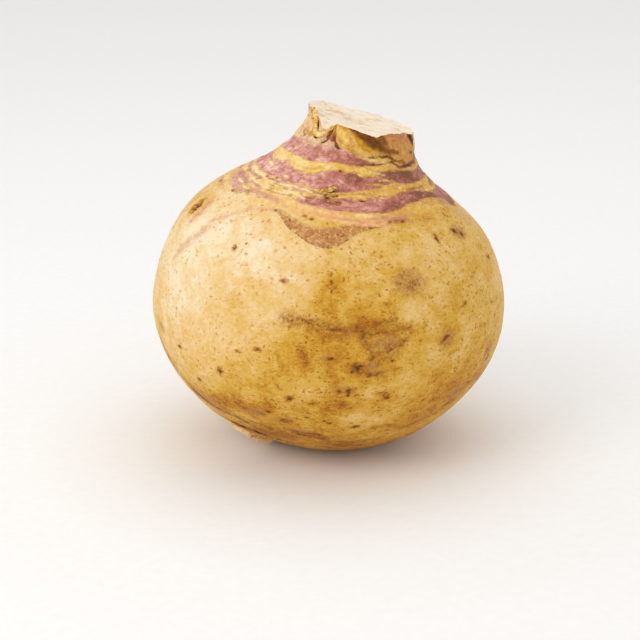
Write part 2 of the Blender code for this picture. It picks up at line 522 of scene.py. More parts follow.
BLUSHES = (
    (-156.4, 32.0, 1.9, 6.0, 10), (-158.0, 33.6, 1.6, 4.0, 10), (-163, 37.4, 5.0, 1.1, 0),
    (-176, 30.0, 1.6, 7.0, 4), (-12, 35.0, 7.0, 5.0, 0), (64, 33.0, 9.0, 5.0, 25),
    (150, 31.0, 6.0, 4.0, -30),
)

SPOTS = (
    (-81.8, -5.2, 2.1, 1.9), (-83.5, -6.4, 1.1, 0.9), (-78.2, -8.0, 1.0, 0.6, 20),
    (-76.0, -8.0, 0.9, 0.5, 10), (-176, 37.7, 0.9, 0.6), (-152.5, 38.2, 0.6, 0.5), (-144, 39.6, 0.6, 0.45),
    (-136.8, 44.0, 0.5, 0.4), (-118.7, 45.6, 0.5, 0.4), (-105.5, 20.4, 1.2, 0.7, 4),
    (-127.0, 26.3, 0.8, 0.8, 20), (-124.2, 25.0, 0.35, 0.35), (-121.5, 25.6, 0.4, 0.4),
    (-123.2, 28.1, 0.35, 0.35), (-90.4, 22.9, 0.6, 0.6), (-90.2, 21.0, 0.6, 0.6), (-91.4, 19.9, 0.6, 0.6),
    (-90.0, 18.4, 0.5, 0.7), (-105.2, 37.1, 0.9, 0.8, -30), (-101.8, 36.7, 0.9, 0.6, 30),
    (-112.4, -0.5, 1.2, 0.6, -10), (-119, -1.8, 0.7, 0.45), (-126.3, -10.2, 1.0, 1.15, 30),
    (-138, -16.4, 0.9, 0.9), (-145, -6.6, 0.8, 0.6), (-103.0, -17.0, 1.4, 1.1, 30),
    (-95.8, -18.5, 1.1, 0.7, 10), (-72.0, -16.2, 1.2, 1.5, 16), (-74.5, -15.0, 1.0, 0.7),
    (-84.3, -13.2, 1.3, 1.0, 20), (-87.4, -13.8, 1.3, 0.7, 8), (-84.6, -15.2, 0.7, 0.8),
    (-80.8, -28.9, 1.9, 0.8, -5), (-90.8, -27.1, 0.8, 0.7), (-98.6, -24.6, 0.9, 0.6),
    (-92.4, -26.0, 0.7, 0.6), (-99.4, -32.8, 1.7, 0.6, -16), (-95.6, -33.2, 1.4, 1.1, 0),
    (-107.4, -26.6, 1.2, 0.6, 4), (-112.0, -23.4, 1.3, 0.8, -20), (-80.3, 6.6, 0.9, 1.3, -30),
    (-77.5, -2.0, 1.5, 1.1), (-88.4, 7.1, 2.0, 0.55, -4), (-86.2, 6.8, 1.2, 0.45),
    (-82.2, 7.0, 1.1, 0.9, 30), (-80.3, 6.2, 0.8, 0.7), (-68.2, 5.2, 0.7, 0.5), (-65.2, 5.0, 0.7, 0.5),
    (-66.6, 3.4, 0.5, 0.4), (-71.2, -3.6, 0.8, 0.5), (-72.6, 14.6, 0.8, 0.5), (-62.0, 1.8, 0.5, 0.45),
    (-96.4, 8.9, 1.4, 0.4, -8), (-89.6, -2.0, 1.3, 0.8), (-52.6, 1.2, 1.1, 1.0), (-54, -0.2, 0.9, 0.6),
    (-46.2, 32.2, 0.9, 1.9, 8), (-33, 33.0, 1.2, 1.1), (-29, 31.4, 0.9, 1.2), (-96.6, 48.6, 0.7, 0.4),
    (-60, 37.2, 0.8, 0.7), (-42.5, 10.6, 0.7, 0.5), (-29, -9.6, 1.0, 0.8, -30), (-26, -13.0, 0.9, 1.0),
    (-25, 1.8, 0.8, 0.5), (-26.5, 6.6, 0.6, 0.9), (-34, -7.2, 0.7, 0.5), (-57, -20.8, 0.8, 0.5),
    (-17.5, 21.2, 1.3, 0.7), (-91.5, 41.3, 1.6, 0.45, -8), (-79, 42.0, 1.3, 0.35), (-38, 40.9, 0.9, 0.3),
)

BRUISES = (
    (-64, 20.4, 6.6, 4.8, 0), (-64, 20.4, 4.6, 3.4, 0), (-84, 6.2, 3.2, 1.8, 0), (-73, 2.0, 5.0, 3.6, 0),
    (-78, -5.0, 3.4, 2.2, 0), (-52.5, 0.8, 3.8, 3.8, 0), (-91, -1.8, 2.6, 1.6, 0),
    (-86, -13.4, 4.5, 2.4, 0), (-117, -24.2, 4.4, 2.2, 10), (-108, -26.6, 4.5, 1.4, 6),
    (-141, -25.6, 5.0, 2.8, 12), (-158, -3.6, 3.4, 1.6, -12), (-102, -32.6, 6.0, 2.6, 0),
    (-30, 32.4, 5.0, 3.4, 0), (-28, -11.0, 3.0, 6.0, 0), (-40, -22.0, 6.0, 3.0, -10),
    (100, 6.0, 9.0, 5.0, 10), (58, -14.0, 6.0, 4.0, 0), (150, 12.0, 5.0, 3.6, 0), (22, 8.0, 4.0, 3.0, 0),
)

# Rows of shades: depth, then the same as for a patch.
SHADES = (
    (-0.24, -132, 20, 38, 26, 10), (-0.20, -136, 26, 26, 15, 15), (-0.12, -166, 26, 26, 18, 0),
    (-0.12, -165, 38, 20, 6, 0), (-0.12, -130, 38, 20, 5, 0), (-0.12, -110, 27, 12, 11),
    (-0.12, -146, 9, 15, 9, 25), (-0.12, -168, -4, 30, 34), (-0.10, -128, 0, 14, 6),
    (-0.06, -62, 31, 34, 7), (0.10, -80, 28, 10, 5), (-0.08, -98, 31, 8, 5), (-0.03, -45, 24, 20, 10),
    (0.20, -84, 4, 22, 12), (0.10, -92, 8, 12, 8), (0.18, -87, -13, 8, 11), (0.14, -76, -8, 8, 5),
    (0.10, -102, -4, 7, 7), (0.22, -90.3, 18.5, 4.5, 8, -8), (0.08, -76, 14, 8, 7), (0.10, -63, 20, 7, 5),
    (0.16, -53, 1, 5.5, 5.5), (0.08, -42, 14, 10, 8), (0.10, -42, -5, 9, 9), (0.08, -56, -9, 7, 5),
    (0.08, -30, 3, 13, 8, -10), (0.12, -26, -16, 10, 12, -10), (0.13, -73, -16.5, 5, 4),
    (0.14, -90, -19.5, 12, 4.5, 4), (0.12, -142, -24, 12, 5, 16), (0.19, -46, -20, 14, 10, -10),
    (0.16, -59, -30, 12, 7), (0.20, -122, -36, 14, 7), (0.17, -131, -24, 10, 6, 20),
    (0.13, -115, -22, 8, 5, 30), (0.10, -100, -30, 24, 12), (0.08, -112, -2, 8, 5), (0.07, -110, -14, 5, 9),
    (-0.20, -79, -26, 10, 4.5, -24), (-0.08, -60, -4, 4, 9, 8), (-0.10, -63, 12, 6, 5),
    (-0.06, -98, -10, 8, 5), (-0.08, -133, -17, 7, 5), (-0.06, -105, 38.4, 14, 3), (0.05, -40, 38, 20, 3),
    (0.12, -18, 39, 12, 4), (-0.16, 30, 20, 30, 18), (0.14, 20, -16, 24, 16), (0.22, 72, 8, 16, 13, 20),
    (0.18, 70, -26, 22, 10), (-0.14, 96, 28, 26, 10), (-0.16, 112, -6, 22, 18),
    (0.16, 140, 16, 15, 10, -20), (0.18, 150, -22, 20, 12), (-0.10, 165, 24, 16, 10), (-0.14, 45, -4, 9, 6),
)

# Rows of trails: width, then the points.
THREADS = (
    (1.0, (-168, 43.0), (-157, 43.05), (-147, 42.9)),
    (1.0, (-145, 43.6), (-136, 43.1), (-127, 42.9), (-116, 42.65), (-102, 42.7)),
    (0.9, (-158, 41.3), (-146, 41.5), (-139, 41.2), (-128, 41.4), (-118, 41.3)),
    (0.9, (-150, 39.4), (-140, 39.2), (-130, 39.6)), (0.9, (-80, 36.7), (-72, 37.0), (-62, 37.1)),
    (0.7, (-78, 36.1), (-70, 36.3)), (0.5, (-46, 44.5), (-38, 44.6), (-26, 44.4)),
)

BLUSH_ARC = (
    (1.9, (-121, 37.1), (-127, 36.8), (-132, 35.8), (-136, 34.6), (-139.5, 33.0)),
    (3.0, (-138, 33.8), (-141.5, 32.0), (-144.2, 30.4), (-146, 28.1)),
    (4.4, (-144.5, 29.6), (-147, 26.9), (-149.5, 24.6), (-152.5, 21.9), (-155, 19.6)),
)

CRACKS = (
    (2.2, (-104, 10.0), (-99, 9.1), (-94, 8.2), (-89, 7.0), (-85.5, 6.9)),
    (1.4, (-81, 6.4), (-78, 5.7), (-74, 5.7), (-70, 6.1), (-65.5, 6.3)),
    (1.5, (-82, 7.6), (-79.8, 6.6), (-80.4, 4.6), (-78.4, 1.6), (-77.8, -0.4)),
    (1.1, (-79, 7.2), (-75, 8.6), (-70, 9.2)), (1.1, (-74, 0.4), (-70.5, 1.4), (-67, 2.4)),
    (1.2, (-76, -1.6), (-72.5, -0.4), (-68.5, 1.0)), (1.0, (-75.5, -3.6), (-72.5, -2.6), (-70, -1.2)),
    (1.1, (-81.5, -7.4), (-78, -7.8), (-74, -7.2)), (0.45, (-91, 43.0), (-84, 43.3), (-74, 43.4)),
    (0.4, (-112, 41.6), (-104, 41.3), (-98, 41.2)),
    (1.3, (-108, -31.2), (-101, -33.0), (-95, -33.2), (-91, -34.4)),
    (1.2, (-122, -30.4), (-113, -32.6), (-106, -35.0)), (1.8, (-164, -10.0), (-160, -14.0), (-156, -18.0)),
    (1.6, (-153, -20.0), (-148, -24.0), (-142, -27.0)), (1.4, (-128, -29.0), (-121, -33.6), (-113, -37.0)),
    (1.3, (-88, -36.8), (-78, -37.4), (-68, -36.6)), (1.3, (-60, -33.0), (-50, -31.4), (-42, -28.6)),
    (1.1, (-74, -30.2), (-69, -29.6), (-64, -30.6)), (1.6, (96, 8.0), (104, 6.4), (113, 6.9), (119, 5.2)),
    (1.4, (52, -12.0), (60, -13.4), (70, -12.8)), (1.3, (150, -8.0), (158, -9.2), (163, -8.6)),
    (0.5, (60, 43.9), (72, 44.1), (86, 44.9), (97, 45.2)), (0.6, (20, 51.2), (40, 50.9), (58, 50.6)),
)

# Strokes laid in order over the skin. Most are its own marks; a few are painted shadow in gaps and creases,
# and one is a painted highlight.
DAUBS = (
    Daub(Trail(((-158.4, 28.0), (-156.6, 31.0), (-157.4, 34.0)), 3.6), (206, 146, 122), 0.45, 0.9),
    # Painted shadow: a near-black line in the crease between the bulb and the stub's lip.
    Daub(STUB_CREASE, (64, 30, 8), 0.95),
    Daub(Patch(-166, 63.6, 4.5, 1.8, 15), (206, 140, 88), 0.6),
    Daub(Trail(((-179, 60.4), (-168, 60.6), (-159, 60.0)), 0.7), (196, 138, 92), 0.5),
    Daub(Trail(((-179, 57.3), (-168, 57.4), (-160, 57.0)), 0.9), (214, 148, 118), 0.5),
    Daub(Trail(((-177, 55.6), (-166, 55.5)), 0.7), (206, 144, 120), 0.5),
    Daub(Trail(((-160, 56.6), (-156, 56.0), (-151.5, 56.1)), 0.7), (134, 84, 44), 0.6),
    Daub(Patch(-155.5, 57.2, 2.2, 0.5), (204, 150, 66), 0.6),
    Daub(Patch(-148.5, 57.0, 1.4, 0.6), (196, 144, 60), 0.7),
    Daub(Patch(-157.5, 65.9, 2.4, 0.6, -10), (120, 70, 30), 0.85),
    # Painted shadow: a dark line in the groove between the husk strands.
    Daub(
        Trail(((-162, 61.9), (-157, 61.6), (-152.5, 61.4), (-149.5, 60.7), (-146.5, 59.5), (-143, 58.2),
        (-140, 57.4)), 1.5), (84, 44, 12), 0.96,
    ),
    # Painted shadow: the dark gap beside the end of the husk loop, near-black at its top.
    Daub(Trail(((-126.8, 60.8), (-125.2, 59.4), (-124.8, 57.9), (-126, 56.7)), 2.2), (134, 84, 24), 0.95),
    Daub(Patch(-124.0, 60.4, 0.9, 0.8), (60, 30, 14), 0.95),
    Daub(Patch(-120.6, 57.6, 1.3, 2.0, 20), (178, 108, 86), 0.8),
    Daub(
        Trail(((-121.8, 60.8), (-119.5, 58.9), (-116.8, 57.2), (-112.5, 56.0), (-107, 54.9)), 1.1),
        (122, 76, 30), 0.85,
    ),
    Daub(Patch(-111, 59.8, 6.0, 1.5, -8), (214, 158, 52), 0.9),
    Daub(Patch(-104, 57.3, 7.0, 1.7, -14), (216, 166, 76), 0.9),
    # Painted highlight: a pale cream spot on the left of the leaf scar's cushion.
    Daub(Patch(-111, 58.6, 3.4, 1.3, -30), (242, 208, 118), 0.65, 0.6),
    Daub(Trail(((-98, 58.7), (-92, 57.1), (-86, 55.7), (-79, 54.7), (-70, 54.3)), 2.2), (204, 146, 34), 0.9),
    Daub(Trail(((-104.5, 59.4), (-101, 58.6), (-97, 57.6), (-92, 56.3)), 0.8), (234, 184, 124), 0.7),
    Daub(Trail(((-93, 55.1), (-84, 54.0), (-74, 53.7), (-64, 53.7)), 1.1), (226, 186, 104), 0.85),
    Daub(Patch(-50, 56.6, 11.0, 3.9, -4), (206, 144, 72), 0.96, 0.3),
    Daub(Trail(((-46, 50.3), (-37, 50.2), (-27, 50.2), (-16, 50.9)), 1.2), (138, 84, 62), 0.8),
    Daub(Patch(-38, 54.4, 6.0, 1.7), (206, 152, 80), 0.8),
    Daub(Patch(-61, 58.7, 3.2, 1.2, -10), (192, 126, 92), 0.7),
    Daub(Patch(-44, 57.6, 3.6, 1.1, 10), (190, 128, 96), 0.55),
    Daub(Patch(-80, 57.6, 6.4, 2.0, -14), (132, 82, 30), 0.85, 0.7),
    Daub(Patch(-79, 57.9, 3.6, 1.2, -16), (96, 56, 22), 0.9),
    Daub(Trail(((-103.5, 60.9), (-99, 60.0), (-93, 59.1), (-87, 58.5)), 1.5), (112, 66, 18), 0.95),
    Daub(
        Trail(((-72, 56.2), (-66, 55.1), (-58, 54.4), (-50, 53.9), (-46.5, 53.6)), 1.1), (128, 74, 26),
        0.92,
    ),
    Daub(Patch(-70.5, 58.2, 2.4, 1.0, -35), (124, 78, 38), 0.8),
    Daub(Trail(((-41, 59.6), (-33, 59.0), (-27, 57.7), (-21, 56.5), (-15, 55.4)), 2.0), (92, 48, 20), 0.95),
    Daub(Patch(-24, 53.3, 1.8, 0.6), (120, 62, 40), 0.85),
    Daub(
        Trail(((-77, 52.9), (-66, 52.9), (-58.5, 53.1), (-54, 52.5), (-49.5, 51.9), (-44, 51.6),
        (-38, 51.4)), 0.8), (128, 78, 44), 0.7,
    ),
    Daub(
        Trail(((-76, 51.2), (-66, 51.0), (-58, 51.3), (-53, 51.4), (-49, 50.9), (-44, 50.5), (-36, 50.3),
        (-27, 50.3)), 0.75), (124, 74, 50), 0.7,
    ),
    Daub(Patch(-68, 52.0, 4.8, 0.5), (230, 194, 130), 0.85),
    Daub(Patch(-41, 51.45, 2.2, 0.5), (176, 112, 40), 0.8),
    Daub(
        Trail(((-163, 42.7), (-147, 41.9), (-139, 41.4), (-128, 41.5), (-119, 41.7), (-110, 41.2)), 1.1),
        (250, 222, 160), 0.62, 0.5,
    ),
    Daub(
        Trail(((-170, 44.0), (-150, 43.4), (-140, 43.0), (-123, 43.2), (-112, 42.9), (-103, 42.3)), 1.0),
        (250, 224, 166), 0.6, 0.5,
    ),
    Daub(Patch(-158.5, 40.7, 3.4, 0.7, -6), (250, 226, 172), 0.62, 0.5),
    Daub(Patch(-148.5, 40.0, 2.2, 0.6, -6), (248, 220, 162), 0.55, 0.5),
    Daub(Patch(-155, 46.4, 2.8, 0.7, -6), (250, 226, 176), 0.55, 0.5),
    Daub(Patch(-131.8, 45.1, 1.2, 0.4, -10), (248, 222, 176), 0.65),
    Daub(
        Trail(((-160, 43.3), (-148, 42.65), (-138, 42.2), (-124, 42.4), (-112, 42.1)), 0.6),
        (196, 130, 112), 0.5,
    ),
    Daub(Trail(((-149, -24.6), (-142, -26.4), (-135, -27.9), (-128, -29.4)), 1.7), (124, 72, 48), 0.6),
    Daub(Patch(-116, -24.8, 4.0, 1.0, -4), (150, 92, 56), 0.5),
    Daub(Patch(-106.5, -27.4, 3.4, 1.0), (142, 86, 46), 0.55),
    Daub(Trail(((-104, -33.6), (-98, -34.4), (-93, -35.4)), 1.6), (110, 62, 24), 0.6),
    Daub(Patch(-112, 39.0, 16.0, 2.4), (240, 194, 130), 0.4, 0.7),
    Daub(Patch(-84, 37.9, 15.0, 2.0), (238, 186, 122), 0.5, 0.7),
    Daub(Patch(-79, 36.5, 9.0, 0.9), (238, 184, 134), 0.6, 0.6),
    Daub(Patch(-66, 37.9, 7.0, 0.9), (206, 140, 108), 0.7, 0.6),
    Daub(Patch(-84, 37.2, 6.0, 0.6), (206, 146, 108), 0.55, 0.6),
    Daub(Patch(-100, 37.8, 6.0, 0.8), (220, 160, 104), 0.55, 0.6),
    Daub(Patch(-58, 39.0, 5.0, 0.5), (206, 140, 112), 0.6, 0.6),
    Daub(Patch(-95, 39.0, 5.0, 0.4), (216, 156, 122), 0.6, 0.6),
    Daub(Patch(-78, 38.6, 3.0, 0.7), (248, 214, 150), 0.6),
    Daub(Patch(-70, 39.0, 4.0, 0.5), (240, 196, 110), 0.5),
    Daub(Patch(-40, 39.7, 9.0, 1.5), (232, 188, 90), 0.5, 0.7),
    Daub(Patch(-46, 37.2, 7.0, 0.6), (196, 128, 84), 0.5, 0.7),
    Daub(Trail(((-78, 43.0), (-72, 43.1), (-66, 43.2)), 0.5), (136, 82, 34), 0.6),
    Daub(Patch(-88, 49.7, 9.0, 0.7), (232, 184, 66), 0.6, 0.7),
    Daub(Patch(-71, 48.9, 5.0, 0.5), (228, 196, 128), 0.6),
)


@dataclass(frozen=True)
class ShoulderBands:
    """The mauve rings of the shoulder and the pale rings between them."""

    upper: Band = Band(UPPER_TOP, UPPER_BOTTOM)
    middle: Band = Band(MIDDLE_TOP, MIDDLE_BOTTOM)
    lower: Band = Band(LOWER_TOP, LOWER_BOTTOM, start=-112.0)
    islands: tuple[Patch, ...] = patches(ISLANDS)
    threads: tuple[Trail, ...] = trails(THREADS)
    washes: tuple[Patch, ...] = patches(WASHES)
    drops: tuple[Patch, ...] = patches(DROPS)
    ripeness: Wander = RIPENESS

    def mauve(
        self, points: np.ndarray, angle: np.ndarray, height: np.ndarray, steep: np.ndarray, shape: BulbShape
    ) -> np.ndarray:
        """Millimetres inside the mauve colour at each point, negative on the pale skin."""
        result = np.full(len(points), -FADE)
        for band in (self.upper, self.middle, self.lower):
            result = np.maximum(result, band.inside(angle, height, steep))
        for island in self.islands:
            result = np.maximum(result, island.inside(points, shape) * island.tall)
        for thread in self.threads:
            result = np.maximum(result, thread.inside(points, shape) * thread.width / 2)
        for drop in self.drops:
            result = np.minimum(result, -drop.inside(points, shape) * drop.tall * 1.5)
        return np.clip(result, -FADE, FADE)


@dataclass(frozen=True)
class SkinMarks:
    """Every mark on the skin, each list by what it looks like."""

    bands: ShoulderBands = ShoulderBands()
    base_tone: float = 0.54
    low_tone: float = 0.10
    # Darkening near the base: partly the skin's own browner underside, partly painted shade.
    sole_tone_and_shade: float = 0.20
    shades: tuple[Shade, ...] = tuple(Shade(Patch(*row), depth) for depth, *row in SHADES)
    tongue_edge: Wander = TONGUE_EDGE
    cork_top: Wander = CORK_TOP
    blush_arc: tuple[Trail, ...] = trails(BLUSH_ARC)
    blushes: tuple[Patch, ...] = patches(BLUSHES)
    cracks: tuple[Trail, ...] = trails(CRACKS)
    spots: tuple[Patch, ...] = patches(SPOTS)
    bruises: tuple[Patch, ...] = patches(BRUISES)
    eye: Patch = Patch(-162.0, 31.2, 4.6, 3.0, 84)
    scar_edge: Wander = SCAR_EDGE
    rim_rise: Wander = RIM_RISE
    daubs: tuple[Daub, ...] = DAUBS
    stub_reach: float = 9.6
    dry_rise: tuple[float, float] = (53.8, 56.4)
    shoulder_rise: tuple[float, float] = (37.0, 42.0)
    base_fall: tuple[float, float] = (-14.0, -44.0)
    spots_behind: int = 46
    bruises_behind: int = 12

    def grown_behind(self, seed: int = 41) -> tuple[tuple[Patch, ...], tuple[Patch, ...]]:
        """Spots and bruises for the sides and back, scattered as thinly as in front.

        Args:
            seed: Seed of the random places.

        Returns:
            The spots, and the bruises.
        """
        rng = np.random.default_rng(seed)
        spots = []
        bruises = []
        for _ in range(self.spots_behind):
            angle = rng.uniform(-14, 194)
            height = rng.uniform(-34, 34)
            wide, share = rng.uniform(0.4, 1.2), rng.uniform(0.5, 1.0)
            spots.append(Patch(angle, height, wide, wide * share, rng.uniform(-30, 30)))
        for _ in range(self.bruises_behind):
            angle = rng.uniform(-10, 190)
            wide = rng.uniform(2.5, 6.0)
            bruises.append(Patch(angle, rng.uniform(-32, 30), wide, wide * rng.uniform(0.4, 0.8)))
        return tuple(spots), tuple(bruises)


class SkinReader:
    """Works out, for points of the skin, how strongly each mark shows there."""

    def __init__(self, shape: BulbShape, marks: SkinMarks) -> None:
        """Keep the root's shape and the marks to read."""
        self.shape = shape
        self.marks = marks

    def read(self, points: np.ndarray, angle: np.ndarray, height: np.ndarray) -> dict[str, np.ndarray]:
        """Measure every mark.

        Args:
            points: Places on the smooth skin.
            angle: Their angles round the root.
            height: Their heights above the widest ring.

        Returns:
            A value for each point, by the mark's name.
        """
        shape, marks = self.shape, self.marks
        slope = shape.radius_at(height + 0.5) - shape.radius_at(height - 0.5)
        steep = np.sqrt(1 + slope**2)
        spots, bruises = marks.grown_behind()
        astray = self._astray(points)
        fields = {
            "tone": self._tone(points, height),
            "mauve": marks.bands.mauve(astray, angle, height, steep, shape),
            "wash": softened(marks.bands.washes, points, shape),
            "ripe": marks.bands.ripeness.height_at(angle),
            "blush": softened((*marks.blushes, *marks.blush_arc), points, shape),
            "crack": deepest(marks.cracks, astray, shape),
            "spot": deepest((*marks.spots, *spots), points, shape),
            "bruise": softened((*marks.bruises, *bruises), points, shape),
            "eye": marks.eye.inside(points, shape),
        }
        edge = (height - marks.tongue_edge.height_at(angle)) * steep
        top = (marks.cork_top.height_at(angle) - height) * steep
        fields["ledge"] = np.clip(edge, -FADE, FADE)
        fields["cork"] = np.clip(np.minimum(edge, top), -FADE, FADE)
        scar = (height - marks.scar_edge.height_at(angle)) * 0.93
        fields["scar"] = np.clip(scar, -FADE, 2 * FADE)
        fields["dry"] = ease(height, *marks.dry_rise) * (1 - ease(scar, -0.6, 0.2))
        fields["shoulder"] = ease(height, *marks.shoulder_rise)
        fields["base"] = ease(height, *marks.base_fall)
        fields["stub_near"] = marks.stub_reach - np.linalg.norm(points - np.array(STUB_MIDDLE), axis=1)
        return fields

    def _tone(self, points: np.ndarray, height: np.ndarray) -> np.ndarray:
        """The skin's tone: 0 is cream, 1 is brown. It darkens towards the underside; the darkening near the
        base is partly painted shade where the root meets the floor.
        """
        marks = self.marks
        low = marks.low_tone * ease(height, -6.0, -24.0) + marks.sole_tone_and_shade * ease(height, -27.0, -46.0)
        return marks.base_tone + low + sum(shade.over(points, self.shape) for shade in marks.shades)

    def paint(self, points: np.ndarray) -> np.ndarray:
        """Lay every daub. Each row has a linear colour and a cover from 0 to 1."""
        paint = np.zeros((len(points), 4))
        astray = self._astray(points)
        for daub in self.marks.daubs:
            daub.lay(paint, astray, self.shape)
        return paint

    def _astray(self, points: np.ndarray) -> np.ndarray:
        """Points pushed a little to and fro, which makes the marks' edges ragged."""
        seeds = (51.0, 63.0, 75.0)
        pushes = [ripple(points, 1.5, seed) * 0.34 + ripple(points, 4.5, seed + 7) * 0.4 for seed in seeds]
        return points + np.column_stack(pushes)


# ---------------------------------------------------------------- shader building


Feed = bpy.types.NodeSocket | float | tuple


class Painter:
    """Adds nodes to one node tree and links them."""

    def __init__(self, tree: bpy.types.NodeTree) -> None:
        """Keep the tree to draw in."""
        self.tree = tree

    def add(self, kind: str, **options: object) -> bpy.types.Node:
        """Add a node and set its options."""
        node = self.tree.nodes.new(kind)
        for name, value in options.items():
            setattr(node, name, value)
        return node

    def feed(self, socket: bpy.types.NodeSocket, value: Feed) -> None:
        """Link a socket to another, or set it to a constant."""
        if isinstance(value, bpy.types.NodeSocket):
            self.tree.links.new(value, socket)
        else:
            socket.default_value = value

    def place(self) -> bpy.types.NodeSocket:
        """The point's place on the object, in metres."""
        return self.add("ShaderNodeTexCoord").outputs["Object"]

    def mark(self, name: str) -> bpy.types.NodeSocket:
        """One of the values that the mesh carries at its points."""
        return self.add("ShaderNodeAttribute", attribute_name=name).outputs["Fac"]

    def stretch(self, place: Feed, factors: tuple[float, float, float]) -> bpy.types.NodeSocket:
        """Scale a place along each axis, so that a pattern is drawn out."""
        node = self.add("ShaderNodeVectorMath", operation="MULTIPLY")
        self.feed(node.inputs[0], place)
        node.inputs[1].default_value = factors
        return node.outputs[0]

    def level(self, place: Feed, factor: float) -> bpy.types.NodeSocket:
        """Scale a place in height only: above 1 a pattern turns into level streaks."""
        return self.stretch(place, (1.0, 1.0, factor))

    def sum(self, operation: str, first: Feed, second: Feed = 0.0, third: Feed = 0.0) -> bpy.types.NodeSocket:
        """One sum of up to three values."""
        node = self.add("ShaderNodeMath", operation=operation)
        for socket, value in zip(node.inputs, (first, second, third)):
            self.feed(socket, value)
        return node.outputs[0]

    def plus(self, first: Feed, second: Feed) -> bpy.types.NodeSocket:
        """Add two values."""
        return self.sum("ADD", first, second)

    def times(self, first: Feed, second: Feed) -> bpy.types.NodeSocket:
        """Multiply two values."""
        return self.sum("MULTIPLY", first, second)

    def mixed(self, start: Feed, *parts: tuple[Feed, Feed]) -> Feed:
        """Add values to a start, each times its own weight."""
        for value, weight in parts:
            start = self.sum("MULTIPLY_ADD", value, weight, start)
        return start

    def grain(
        self, place: Feed, scale: Feed, detail: float = 3.0, rough: float = 0.55, warp: float = 0.0
    ) -> bpy.types.NodeSocket:
        """Cloudy noise from 0 to 1."""
        node = self.add("ShaderNodeTexNoise")
        self.feed(node.inputs["Vector"], place)
        self.feed(node.inputs["Scale"], scale)
        node.inputs["Detail"].default_value = detail
        node.inputs["Roughness"].default_value = rough
        node.inputs["Distortion"].default_value = warp
        return node.outputs[0]

    def swing(
        self, place: Feed, scale: Feed, detail: float = 3.0, rough: float = 0.55, warp: float = 0.0
    ) -> bpy.types.NodeSocket:
        """Cloudy noise from -0.5 to 0.5."""
        return self.sum("SUBTRACT", self.grain(place, scale, detail, rough, warp), 0.5)

    def cells(self, place: Feed, scale: Feed) -> tuple[bpy.types.NodeSocket, bpy.types.NodeSocket]:
        """Random cells: the distance to each middle, and a random colour for each."""
        node = self.add("ShaderNodeTexVoronoi")
        self.feed(node.inputs["Vector"], place)
        self.feed(node.inputs["Scale"], scale)
        return node.outputs["Distance"], node.outputs["Color"]

    def rise(self, value: Feed, low: Feed, high: Feed, top: Feed = 1.0) -> bpy.types.NodeSocket:
        """Rise smoothly from 0 at low to top at high."""
        node = self.add("ShaderNodeMapRange", interpolation_type="SMOOTHSTEP")
        self.feed(node.inputs["Value"], value)
        self.feed(node.inputs["From Min"], low)
        self.feed(node.inputs["From Max"], high)
        self.feed(node.inputs["To Max"], top)
        return node.outputs["Result"]

    def ramp(self, value: Feed, stops: Sequence[tuple[float, tuple]]) -> bpy.types.NodeSocket:
        """A colour for each value, blended between stops."""
        node = self.add("ShaderNodeValToRGB")
        elements = node.color_ramp.elements
        while len(elements) < len(stops):
            elements.new(0.5)
        for element, (position, colour) in zip(elements, stops):
            element.position = position
            element.color = colour
        self.feed(node.inputs["Fac"], value)
        return node.outputs["Color"]

    def blend(self, share: Feed, under: Feed, over: Feed, mode: str = "MIX") -> bpy.types.NodeSocket:
        """Lay one colour over another."""
        node = self.add("ShaderNodeMix", data_type="RGBA", blend_type=mode)
        self.feed(node.inputs[0], share)
        self.feed(node.inputs[6], under)
        self.feed(node.inputs[7], over)
        return node.outputs[2]

    def bump(self, shader: bpy.types.Node, height: Feed, strength: float, depth: float) -> None:
        """Give a shader a fine relief that is depth metres deep."""
        node = self.add("ShaderNodeBump")
        node.inputs["Strength"].default_value = strength
        node.inputs["Distance"].default_value = depth
        self.feed(node.inputs["Height"], height)
        self.feed(shader.inputs["Normal"], node.outputs["Normal"])

    def use(self, group: bpy.types.NodeTree, **values: Feed) -> bpy.types.Node:
        """Place a node group with its own values."""
        node = self.add("ShaderNodeGroup", node_tree=group)
        for name, value in values.items():
            self.feed(node.inputs[name], value)
        return node


class SocketKind(Enum):
    """What a group's socket carries."""

    NUMBER = "NodeSocketFloat"
    VECTOR = "NodeSocketVector"


